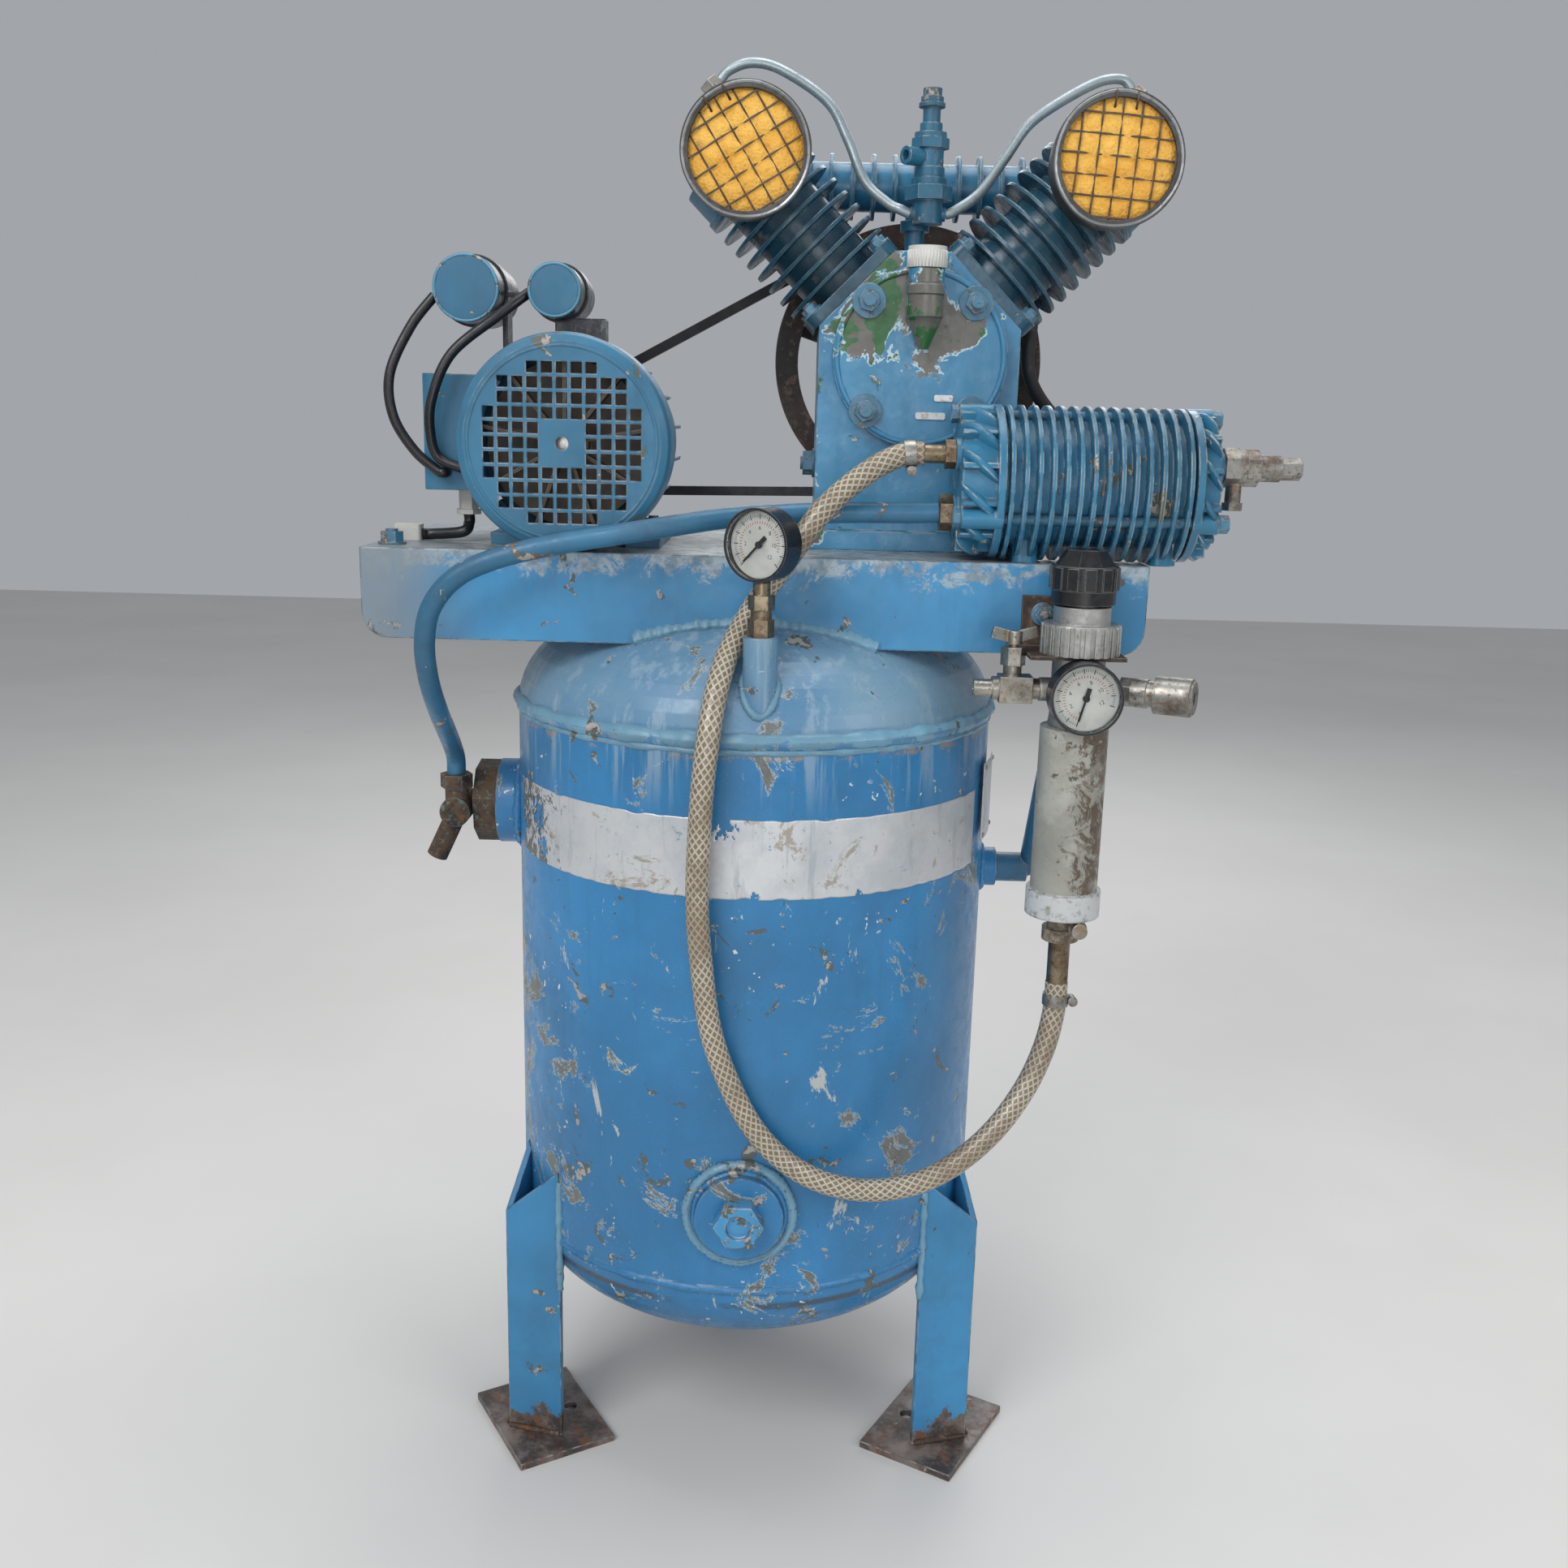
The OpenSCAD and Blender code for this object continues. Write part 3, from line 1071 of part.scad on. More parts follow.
module tap_wing() color(brass) translate([tap_stem_x, tap_y, reg_axis_z + 13]) {
    cylinder(r = 3, h = 24);
    translate([0, 0, 21]) cylinder(r = 6, h = 10);
    for (s = [-1, 1]) rotate([0, 0, 12]) translate([s * 11, 0, 24]) rotate([0, -14 * s, 0])
        translate([-8, -2, 0]) cube([16, 4, 9]);
}
coupler_turn = -26;
module at_coupler() translate([reg_x + 29, reg_y, reg_axis_z]) rotate([0, 0, coupler_turn]) children();
sleeve_start = 26;
sleeve_l = 32;
module coupler_body() color(steel) {
    rod_x([reg_x + 29, reg_y, reg_axis_z], 7, 6);
    at_coupler() difference() {
        union() {
            translate([4, 0, 0]) rotate([0, 90, 0]) hex(11, 10);
            rod_x([13, 0, 0], 11, 12);
            rod_x([24, 0, 0], 10, 36);
        }
        rod_x([38, 0, 0], 5.2, 24);
    }
}
module coupler_sleeve() color(steel) at_coupler() difference() {
    union() {
        rod_x([sleeve_start + 5, 0, 0], 14.5, sleeve_l - 5);
        rod_x([sleeve_start + 5, 0, 0], 12.5, sleeve_l - 3);
    }
    rod_x([sleeve_start - 1, 0, 0], 10 + run_gap, sleeve_l + 10);
}
bowl_r = bowl_d / 2;
bowl_top = reg_axis_z - body_drop;
module filter_bowl() color(steel) translate([reg_x, reg_y, bowl_top - bowl_l - 12]) {
    difference() {
        translate([0, 0, 12]) cylinder(r = bowl_r, h = bowl_l);
        translate([0, 0, 15]) cylinder(r = bowl_r - 3, h = bowl_l - 12);
    }
    difference() {
        translate([0, 0, -8]) cylinder(r = bowl_r + 3, h = 20);
        translate([0, 0, -9]) cylinder(r = 20, h = 5);
    }
    translate([0, 0, -20]) difference() {
        union() {
            cylinder(r = 11, h = 16);
            rod_y([9, -24, 6], 7, 22);
        }
        rod_y([9, -25, 6], 3 + run_gap, 20);
    }
    translate([0, 0, -30]) cylinder(r = 14.5, h = 10);
}
module drain_knob() color(brass) translate([reg_x + 9, reg_y, bowl_top - bowl_l - 26]) {
    rod_y([0, -32, 0], 6, 7.5);
    rod_y([0, -25, 0], 3, 17);
}

tank();
legs();
deck();
drain_plug();
check_valve();
discharge_pipe();
outlet_pipe();
motor_frame();
stator();
end_shield();
fan_cowl();
terminal_box();
cable_fittings();
cables();
capacitor_bracket();
capacitors();
ball_bearings();
motor_rotor();
cooling_fan();
motor_pulley();
drive_belt();
flywheel();
crankshaft();
crankcase();
crankcase_cover();
oil_cap();
cylinders();
heads();
piston_left();
piston_right();
rod_left();
rod_right();
filter_cans();
filter_elements();
manifold();
pilot_valve();
unloaders();
unloader_tubes();
delivery_hose();
cooler_barrel();
cooler_covers();
relief_valve();
relief_ring();
fasteners();
pipe_fittings();
air_hose();
gauge_cases();
gauge_dials();
gauge_lenses();
tank_gauge_needle();
regulator_gauge_needle();
regulator_bracket();
regulator_body();
regulator_knob();
tap_body();
tap_wing();
coupler_body();
coupler_sleeve();
filter_bowl();
drain_knob();
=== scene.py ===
"""Looks of the workshop air compressor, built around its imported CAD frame."""

import math

import bmesh
import bpy
from mathutils import Matrix, Vector, noise


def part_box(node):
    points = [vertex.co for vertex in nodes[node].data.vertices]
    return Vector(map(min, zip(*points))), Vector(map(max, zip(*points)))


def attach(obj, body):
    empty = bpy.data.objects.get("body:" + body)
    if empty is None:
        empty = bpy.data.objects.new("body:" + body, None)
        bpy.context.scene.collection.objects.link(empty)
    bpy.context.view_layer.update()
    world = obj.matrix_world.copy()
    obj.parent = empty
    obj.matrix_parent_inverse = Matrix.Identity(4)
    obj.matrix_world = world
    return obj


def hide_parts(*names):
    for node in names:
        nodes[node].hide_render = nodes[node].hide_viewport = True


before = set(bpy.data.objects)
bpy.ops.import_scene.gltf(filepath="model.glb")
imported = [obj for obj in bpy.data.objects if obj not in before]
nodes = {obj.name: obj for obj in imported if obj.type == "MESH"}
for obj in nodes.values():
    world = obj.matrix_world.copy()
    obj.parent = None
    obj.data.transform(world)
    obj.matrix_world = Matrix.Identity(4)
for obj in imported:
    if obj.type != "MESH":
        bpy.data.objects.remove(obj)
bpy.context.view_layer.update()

MM = 0.001
UP, RIGHT, BACK = Vector((0, 0, 1)), Vector((1, 0, 0)), Vector((0, 1, 0))

# ---------- sizes taken from the frame ----------


def span(node):
    """Lowest corner, highest corner and middle of a CAD node."""
    low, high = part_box(node)
    return low, high, (low + high) / 2


TANK_R = 203 * MM
TOP_SEAM, LOW_SEAM, HEAD_RISE = 652 * MM, 197 * MM, 101.5 * MM
DECK_LOW, DECK_HIGH, _ = span("deck")
COOLER_MID = span("cooler_barrel")[2]
COOLER_AXIS_Z = 844 * MM
COWL_LOW, _, COWL_MID = span("fan_cowl")
PUMP_X, CRANK_Z = 127 * MM, 938 * MM
FILTER_X, FILTER_Z, FILTER_R = 141 * MM, CRANK_Z + 147 * MM, 47 * MM
FILTER_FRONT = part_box("filter_cans")[0].y
# The tank gauge, its dial's turn, the regulator's gauge and the tank's bosses
TANK_GAUGE = Vector((7, -186, 798)) * MM
TANK_GAUGE_TURN = -30
REG_GAUGE = Vector((248, -201, 693)) * MM
DIAL_DEPTH = 4 * MM
PLUG_Z, INLET_Z, OUTLET_Z = 268 * MM, 553 * MM, 503 * MM
LEG_R, LEG_WELD_LOW = 235 * MM, 150 * MM

# ---------- camera ----------


def add_camera():
    """The photograph's view: its lens, its place in metres and its three turns."""
    pitch, yaw, roll = math.radians(13.39), math.radians(0.02), math.radians(1.46)
    ahead = Vector((math.sin(yaw) * math.cos(pitch), math.cos(yaw) * math.cos(pitch), -math.sin(pitch)))
    right = Vector((math.cos(yaw), -math.sin(yaw), 0))
    up = right.cross(ahead)
    side = math.cos(roll) * right + math.sin(roll) * up
    top = -math.sin(roll) * right + math.cos(roll) * up
    data = bpy.data.cameras.new("camera")
    data.sensor_width, data.lens = 36, 35.33
    data.clip_start, data.clip_end = 0.02, 50
    camera = bpy.data.objects.new("camera", data)
    bpy.context.scene.collection.objects.link(camera)
    turn = Matrix((side, top, -ahead)).transposed().to_4x4()
    camera.matrix_world = Matrix.Translation((0.0267, -1.3244, 0.8889)) @ turn
    bpy.context.scene.camera = camera


add_camera()

# ---------- shape helpers ----------


def piece(name, verts, faces, material, body="root", smooth=True, uvs=None):
    """A mesh piece that rides on a body. uvs gives one (u, v) per vertex."""
    mesh = bpy.data.meshes.new(name)
    mesh.from_pydata([tuple(v) for v in verts], [], faces)
    mesh.validate()
    if smooth:
        mesh.polygons.foreach_set("use_smooth", [True] * len(mesh.polygons))
    if uvs:
        layer = mesh.uv_layers.new(name="UVMap")
        for loop in mesh.loops:
            layer.data[loop.index].uv = uvs[loop.vertex_index]
    mesh.update()
    made = bpy.data.objects.new(name, mesh)
    bpy.context.scene.collection.objects.link(made)
    made.data.materials.append(material)
    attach(made, body)
    return made


def smooth_route(points, steps):
    """Catmull-Rom curve through the points, the same as the CAD model's."""
    made = []
    last = len(points) - 1
    for i in range(last):
        a, b, c, d = points[max(i - 1, 0)], points[i], points[i + 1], points[min(i + 2, last)]
        for k in range(steps):
            t = k / steps
            made.append((2 * b + (c - a) * t + (2 * a - 5 * b + 4 * c - d) * t * t
                         + (3 * b - a - 3 * c + d) * t ** 3) / 2)
    made.append(points[last])
    return made


def frames_along(path, closed=False):
    """Tangent, normal and side at each point of a path, without twist."""
    made, normal, count = [], None, len(path)
    for i in range(count):
        if closed:
            tangent = (path[(i + 1) % count] - path[i - 1]).normalized()
        else:
            tangent = (path[min(i + 1, count - 1)] - path[max(i - 1, 0)]).normalized()
        if normal is None:
            normal = tangent.cross(UP if abs(tangent.z) < 0.9 else RIGHT)
        normal = (normal - tangent * normal.dot(tangent)).normalized()
        made.append((tangent, normal, tangent.cross(normal)))
    return made


def tube_data(path, radius, sides=16, closed=False, start=0):
    """Vertices, faces and UVs of a round tube. radius is a number or a function of ring index and angle."""
    verts, faces, uvs, along = [], [], [], 0.0
    size = radius if callable(radius) else (lambda i, a: radius)
    around = frames_along(path, closed)
    for i, point in enumerate(path):
        if i:
            along += (point - path[i - 1]).length
        _, normal, side = around[i]
        for k in range(sides + 1):
            angle = 2 * math.pi * k / sides
            verts.append(point + size(i, angle) * (math.cos(angle) * normal + math.sin(angle) * side))
            uvs.append((k / sides, along))
    rings = len(path)
    row = sides + 1
    for i in range(rings if closed else rings - 1):
        for k in range(sides):
            a, b = i * row + k, ((i + 1) % rings) * row + k
            faces.append((start + a, start + b, start + b + 1, start + a + 1))
    if not closed:
        faces.append([start + k for k in range(sides)])
        faces.append([start + (rings - 1) * row + k for k in reversed(range(sides))])
    return verts, faces, uvs


def tube(name, path, radius, material, body="root", sides=16, closed=False):
    verts, faces, uvs = tube_data(path, radius, sides, closed)
    made = piece(name, verts, faces, material, body, uvs=uvs)
    merge(made)
    return made


def merge(made):
    """Joins the seam's double points."""
    work = bmesh.new()
    work.from_mesh(made.data)
    bmesh.ops.remove_doubles(work, verts=work.verts, dist=1e-6)
    bmesh.ops.recalc_face_normals(work, faces=work.faces)
    work.to_mesh(made.data)
    work.free()


def lathe(name, profile, centre, axis, material, body="root", sides=48, wobble=None, ring=False):
    """A turned piece: profile holds (radius, height along the axis) pairs. wobble scales a radius by angle.
    A ring's profile closes on itself, and any other one is capped."""
    axis = Vector(axis).normalized()
    one = axis.cross(UP if abs(axis.z) < 0.9 else RIGHT).normalized()
    two = axis.cross(one)
    verts, faces = [], []
    for radius, height in profile:
        for k in range(sides):
            angle = 2 * math.pi * k / sides
            r = radius * (wobble(angle) if wobble else 1)
            verts.append(Vector(centre) + axis * height + r * (math.cos(angle) * one + math.sin(angle) * two))
    rows = len(profile)
    for i in range(rows if ring else rows - 1):
        for k in range(sides):
            a, b = i * sides + k, i * sides + (k + 1) % sides
            above = ((i + 1) % rows - i) * sides
            faces.append((a, b, b + above, a + above))
    if not ring:
        faces.append(list(reversed(range(sides))))
        faces.append([(rows - 1) * sides + k for k in range(sides)])
    made = piece(name, verts, faces, material, body)
    merge(made)
    soften(made, 35)
    return made


def in_mm(*profile):
    """A lathe profile given in millimetres."""
    return [(radius * MM, height * MM) for radius, height in profile]


def soften(made, angle):
    """Smooth shading with sharp edges above an angle."""
    made.data.set_sharp_from_angle(angle=math.radians(angle))


def bead(name, path, radius, material, closed=False, lumps=0.25, pitch=3.2 * MM):
    """A weld bead: a rough swelling tube with ripples along its run."""
    step = (path[1] - path[0]).length

    def size(i, angle):
        point = path[i]
        ripple = 1 + 0.12 * math.sin(2 * math.pi * i * step / pitch)
        rough = 1 + lumps * noise.noise(point * 90)
        rough += 0.5 * lumps * noise.noise(point * 300 + Vector((angle, 0, 0)))
        return radius * ripple * rough

    return tube(name, path, size, material, sides=10, closed=closed)


def circle(centre, axis, radius, count, start=0, turn=360):
    """Points on an arc about an axis."""
    axis = Vector(axis).normalized()
    one = axis.cross(UP if abs(axis.z) < 0.9 else RIGHT).normalized()
    two = axis.cross(one)
    whole = abs(turn) >= 360
    return [Vector(centre) + radius * (math.cos(a) * one + math.sin(a) * two)
            for a in (math.radians(start + turn * k / (count if whole else count - 1)) for k in range(count))]


# ---------- material helpers ----------


class Mat:
    """A node material being built. Its coordinates are the frame's, in metres."""

    def __init__(self, name, metallic=0.0, coords="Object"):
        self.material = bpy.data.materials.new(name)
        self.material.use_nodes = True
        self.tree = self.material.node_tree
        self.shader = self.tree.nodes["Principled BSDF"]
        self.shader.inputs["Metallic"].default_value = metallic
        self.where = self.add("ShaderNodeTexCoord").outputs[coords]

    def add(self, kind, **values):
        node = self.tree.nodes.new(kind)
        for key, value in values.items():
            setattr(node, key, value)
        return node

    def put(self, value, socket):
        if isinstance(value, bpy.types.NodeSocket):
            self.tree.links.new(value, socket)
        elif socket.type == "RGBA":
            socket.default_value = (*value[:3], 1)
        else:
            socket.default_value = value

    def stretched(self, x, y, z):
        node = self.add("ShaderNodeMapping")
        node.inputs["Scale"].default_value = (x, y, z)
        self.put(self.where, node.inputs["Vector"])
        return node.outputs["Vector"]

    def noise(self, scale, detail=4, rough=0.6, warp=0.0, where=None):
        node = self.add("ShaderNodeTexNoise")
        for key, value in (("Scale", scale), ("Detail", detail), ("Roughness", rough), ("Distortion", warp)):
            node.inputs[key].default_value = value
        self.put(where or self.where, node.inputs["Vector"])
        return node.outputs["Fac"]

    def cells(self, scale, feature="F1", where=None):
        node = self.add("ShaderNodeTexVoronoi", feature=feature)
        node.inputs["Scale"].default_value = scale
        self.put(where or self.where, node.inputs["Vector"])
        return node.outputs["Distance"]

    def step(self, value, low, high, out_low=0.0, out_high=1.0):
        node = self.add("ShaderNodeMapRange", interpolation_type="SMOOTHSTEP")
        for key, number in (("From Min", low), ("From Max", high), ("To Min", out_low), ("To Max", out_high)):
            node.inputs[key].default_value = number
        self.put(value, node.inputs["Value"])
        return node.outputs["Result"]

    def calc(self, operation, a, b=0.5):
        node = self.add("ShaderNodeMath", operation=operation)
        self.put(a, node.inputs[0])
        self.put(b, node.inputs[1])
        return node.outputs[0]

    def times(self, a, b):
        return self.calc("MULTIPLY", a, b)

    def plus(self, a, b):
        return self.calc("ADD", a, b)

    def mix(self, share, a, b):
        node = self.add("ShaderNodeMix", data_type="RGBA")
        self.put(share, node.inputs[0])
        self.put(a, node.inputs[6])
        self.put(b, node.inputs[7])
        return node.outputs[2]

    def part(self, axis):
        node = self.add("ShaderNodeSeparateXYZ")
        self.put(self.where, node.inputs[0])
        return node.outputs[axis]

    def facing_up(self):
        node = self.add("ShaderNodeSeparateXYZ")
        self.put(self.add("ShaderNodeNewGeometry").outputs["Normal"], node.inputs[0])
        return node.outputs[2]

    def edges(self, width):
        """A rounded normal, and a mask that is 1 on edges."""
        bevel = self.add("ShaderNodeBevel", samples=4)
        bevel.inputs["Radius"].default_value = width
        dot = self.add("ShaderNodeVectorMath", operation="DOT_PRODUCT")
        self.put(bevel.outputs[0], dot.inputs[0])
        self.put(self.add("ShaderNodeNewGeometry").outputs["Normal"], dot.inputs[1])
        return bevel.outputs[0], self.step(dot.outputs["Value"], 0.995, 0.86)

    def finish(self, colour, rough, height=None, depth=0.3 * MM, normal=None, metal=None):
        self.put(colour, self.shader.inputs["Base Color"])
        self.put(rough, self.shader.inputs["Roughness"])
        if metal is not None:
            self.put(metal, self.shader.inputs["Metallic"])
        if height is not None:
            bump = self.add("ShaderNodeBump")
            bump.inputs["Distance"].default_value = depth
            self.put(height, bump.inputs["Height"])
            if normal is not None:
                self.put(normal, bump.inputs["Normal"])
            normal = bump.outputs[0]
        if normal is not None:
            self.put(normal, self.shader.inputs["Normal"])
        return self.material


def shade(colour, share):
    return tuple(c * share for c in colour)


UNDERCOAT = (0.085, 0.10, 0.085)
BARE = (0.46, 0.47, 0.46)
RUST = (0.135, 0.06, 0.03)
GRIME = (0.035, 0.032, 0.028)


def worn_paint(name, colour, chips=0.5, worn=0.5, grime=0.3, rough=0.4, under=UNDERCOAT, bare=BARE, size=1.0,
               lumps=0.25, edge=2.2 * MM, rusty=0.4, region=None):
    """Old brushed paint: tone patches, chips to the undercoat and the rust, rubbed edges, pale edges that are partly
    worn paint and partly a painted highlight, dirt and runs.
    """
    m = Mat(name)
    broad, fine = m.noise(4 * size, 5), m.noise(75 * size, 7, 0.68)
    streak = m.noise(1, 5, 0.7, where=m.stretched(55, 55, 5))
    tone = m.mix(m.step(broad, 0.36, 0.64), shade(colour, 0.8), shade(colour, 1.12))
    tone = m.mix(m.step(streak, 0.5, 0.72, 0, 0.35), tone, shade(colour, 0.68))
    normal, edge_mask = m.edges(edge)
    # Dirt gathers in broad patches and on top faces
    dirt = m.times(m.step(m.noise(9 * size, 6, 0.7), 0.45, 0.75), grime)
    dust = m.times(m.step(m.facing_up(), 0.55, 0.98), m.step(fine, 0.35, 0.6, 0.15, 0.55))
    tone = m.mix(dirt, tone, GRIME)
    tone = m.mix(m.times(dust, grime), tone, (0.22, 0.21, 0.19))
    # Chips: a fine threshold that only opens inside a few patches
    patch = m.step(m.noise(13 * size, 4, 0.6, 0.4), 0.62 - 0.12 * chips, 0.76 - 0.1 * chips)
    spots = m.step(m.plus(m.noise(38 * size, 6, 0.62, 0.6), m.times(patch, 0.16)),
                   0.665 - 0.03 * chips, 0.68 - 0.03 * chips)
    core = m.times(spots, m.step(m.noise(120 * size, 3), 0.5, 0.56))
    rubbed = m.step(m.times(edge_mask, m.plus(fine, m.step(broad, 0.4, 0.6, 0, 0.25))),
                    0.62 - 0.3 * worn, 0.72 - 0.3 * worn)
    if region:
        tone = region(m, tone, broad, fine)
    # Pale edges: a lighter copy of the paint mixed with bare metal, partly worn paint and partly a painted highlight
    # along the edges; worn sets both these and the rubbed edges.
    pale = m.step(m.times(edge_mask, fine), 0.1, 0.45, 0, 0.7 * worn)
    tone = m.mix(pale, tone, m.mix(0.5, shade(colour, 1.5), bare))
    layer = m.mix(core, under, m.mix(rusty, bare, RUST))
    tone = m.mix(spots, tone, layer)
    tone = m.mix(rubbed, tone, m.mix(m.step(m.noise(60 * size, 4), 0.42, 0.6), bare, under))
    gloss = m.plus(m.step(fine, 0.3, 0.7, rough - 0.09, rough + 0.12), m.times(dirt, 0.5))
    height = m.plus(m.times(m.noise(160 * size, 4), lumps), m.times(spots, -0.6))
    height = m.plus(height, m.times(m.noise(24 * size, 3), 3 * lumps))
    return m.finish(tone, gloss, height, 0.35 * MM, normal, m.times(rubbed, 0.6))


def old_metal(name, colour, dark, rough=0.38, metallic=0.9, stain=0.5, size=1.0, tint=None, edge=1.2 * MM,
              depth=0.15 * MM):
    """Bare or plated metal with stains, tarnish and polished edges."""
    m = Mat(name, metallic)
    broad, fine = m.noise(22 * size, 6, 0.7), m.noise(140 * size, 5, 0.7)
    tone = m.mix(m.step(broad, 0.36, 0.66), colour, m.mix(stain, colour, dark))
    tone = m.mix(m.step(fine, 0.52, 0.66, 0, stain), tone, dark)
    if tint:
        tone = m.mix(m.step(m.noise(35 * size, 5, 0.65, 0.5), 0.52, 0.66, 0, 0.8), tone, tint)
    normal, edge_mask = m.edges(edge)
    tone = m.mix(m.step(m.times(edge_mask, fine), 0.15, 0.5, 0, 0.8), tone, shade(colour, 1.35))
    gloss = m.step(m.plus(broad, m.times(fine, 0.5)), 0.5, 1.05, rough - 0.1, rough + 0.22)
    return m.finish(tone, gloss, m.plus(fine, broad), depth, normal)


def rusty_steel(name, colour=(0.10, 0.062, 0.042), dark=(0.035, 0.026, 0.022), light=(0.26, 0.19, 0.14),
                size=1.0):
    """Brown steel with darker and brighter rust and a worn pale edge."""
    m = Mat(name, 0.25)
    broad, fine = m.noise(18 * size, 6, 0.72), m.noise(110 * size, 6, 0.75)
    tone = m.mix(m.step(broad, 0.35, 0.65), dark, colour)
    tone = m.mix(m.step(fine, 0.52, 0.68, 0, 0.75), tone, light)
    tone = m.mix(m.step(m.noise(45 * size, 5), 0.58, 0.66, 0, 0.7), tone, (0.17, 0.06, 0.022))
    normal, edge_mask = m.edges(1.5 * MM)
    tone = m.mix(m.step(m.times(edge_mask, fine), 0.2, 0.5, 0, 0.6), tone, (0.34, 0.31, 0.28))
    return m.finish(tone, m.step(fine, 0.3, 0.7, 0.55, 0.85), m.plus(fine, broad), 0.4 * MM, normal)


def moulded(name, colour, rough=0.35, scuff=0.4, light=(0.4, 0.4, 0.4), grain=400, edge=0.8 * MM):
    """Plastic or rubber with fine grain and scuffed edges."""
    m = Mat(name)
    fine = m.noise(90, 6, 0.7)
    normal, edge_mask = m.edges(edge)
    tone = m.mix(m.step(m.noise(30, 5), 0.4, 0.65, 0, 0.5), colour, shade(colour, 0.6))
    tone = m.mix(m.step(m.times(edge_mask, fine), 0.25, 0.5, 0, scuff), tone, light)
    return m.finish(tone, m.step(fine, 0.35, 0.65, rough, rough + 0.2), m.noise(grain, 3), 0.06 * MM, normal)


# ---------- where the paint has its own marks ----------


def tank_marks(m, tone, broad, fine):
    """A chalky dome, runs and rust under the top seam, bald patches, flecks, scuffs and a dark lower head."""
    z = m.part(2)
    chalk = m.times(m.step(z, 0.64, 0.665), m.step(broad, 0.3, 0.6, 0.35, 0.85))
    tone = m.mix(chalk, tone, (0.20, 0.32, 0.40))
    drips = m.noise(1, 5, 0.7, where=m.stretched(60, 60, 4))
    runs = m.times(m.step(drips, 0.5, 0.62), m.step(z, 0.585, 0.64))
    tone = m.mix(m.times(runs, 0.6), tone, (0.28, 0.38, 0.46))
    line = m.times(m.step(z, 0.636, 0.640), m.step(z, 0.646, 0.643))
    line = m.times(line, m.step(m.noise(46, 7, 0.78), 0.50, 0.58, 0, 0.85))
    tone = m.mix(line, tone, m.mix(fine, (0.13, 0.085, 0.06), (0.46, 0.36, 0.27)))
    lip = m.times(m.step(z, 0.176, 0.180), m.step(z, 0.186, 0.183))
    tone = m.mix(m.times(lip, m.step(m.noise(12, 6, 0.7), 0.40, 0.52, 0, 0.8)), tone, (0.05, 0.055, 0.055))
    side = m.plus(m.step(m.part(0), -0.20, -0.06, 0.055, 0.0), m.step(z, 0.32, 0.20, 0.0, 0.006))
    bald = m.plus(m.noise(15, 8, 0.74, 0.7), m.times(side, m.step(z, 0.52, 0.46)))
    tone = m.mix(m.step(bald, 0.597, 0.603), tone, (0.40, 0.47, 0.48))
    tone = m.mix(m.step(bald, 0.607, 0.615), tone, m.mix(fine, (0.07, 0.085, 0.085), (0.20, 0.215, 0.20)))
    flecks = m.times(m.step(m.noise(120, 3, 0.5), 0.675, 0.69), m.step(m.noise(9, 4), 0.5, 0.6))
    flecks = m.times(flecks, m.step(z, 0.64, 0.62))
    tone = m.mix(flecks, tone, (0.58, 0.62, 0.62))
    scuff = m.step(m.noise(1, 7, 0.72, 0.5, where=m.stretched(34, 34, 13)), 0.63, 0.65)
    tone = m.mix(m.times(scuff, m.step(z, 0.53, 0.50)), tone, (0.42, 0.45, 0.44))
    low = m.times(m.step(z, 0.15, 0.11), m.step(fine, 0.3, 0.6))
    return m.mix(low, tone, (0.10, 0.09, 0.085))


def deck_marks(m, tone, broad, fine):
    """A grey bare top, chalky upper edges and a grubby left end."""
    top = m.times(m.step(m.facing_up(), 0.6, 0.95), m.step(m.part(2), 0.77, 0.78))
    grain = m.noise(1, 6, 0.7, where=m.stretched(6, 90, 90))
    tone = m.mix(top, tone, m.mix(m.step(grain, 0.35, 0.65), (0.17, 0.155, 0.14), (0.34, 0.33, 0.31)))
    reach = m.plus(m.noise(40, 8, 0.8, 0.6), m.step(m.part(2), 0.745, 0.786, -0.16, 0.10))
    chalk = m.mix(m.step(fine, 0.42, 0.6), (0.40, 0.47, 0.50), (0.22, 0.26, 0.28))
    tone = m.mix(m.step(reach, 0.50, 0.60, 0, 0.85), tone, chalk)
    end = m.times(m.step(m.part(0), -0.2, -0.29), m.step(broad, 0.35, 0.6, 0.3, 0.9))
    return m.mix(end, tone, (0.20, 0.235, 0.26))


def leg_marks(m, tone, broad, fine):
    """Bare rusty foot plates, with the paint ending raggedly above them."""
    ragged = m.plus(m.part(2), m.step(m.noise(45, 6, 0.75), 0.3, 0.7, -0.016, 0.016))
    rust = m.mix(m.step(m.noise(25, 6, 0.75), 0.38, 0.62), (0.05, 0.038, 0.034), (0.20, 0.16, 0.14))
    rust = m.mix(m.step(fine, 0.52, 0.64), rust, (0.16, 0.07, 0.035))
    return m.mix(m.step(ragged, 0.030, 0.022), tone, rust)


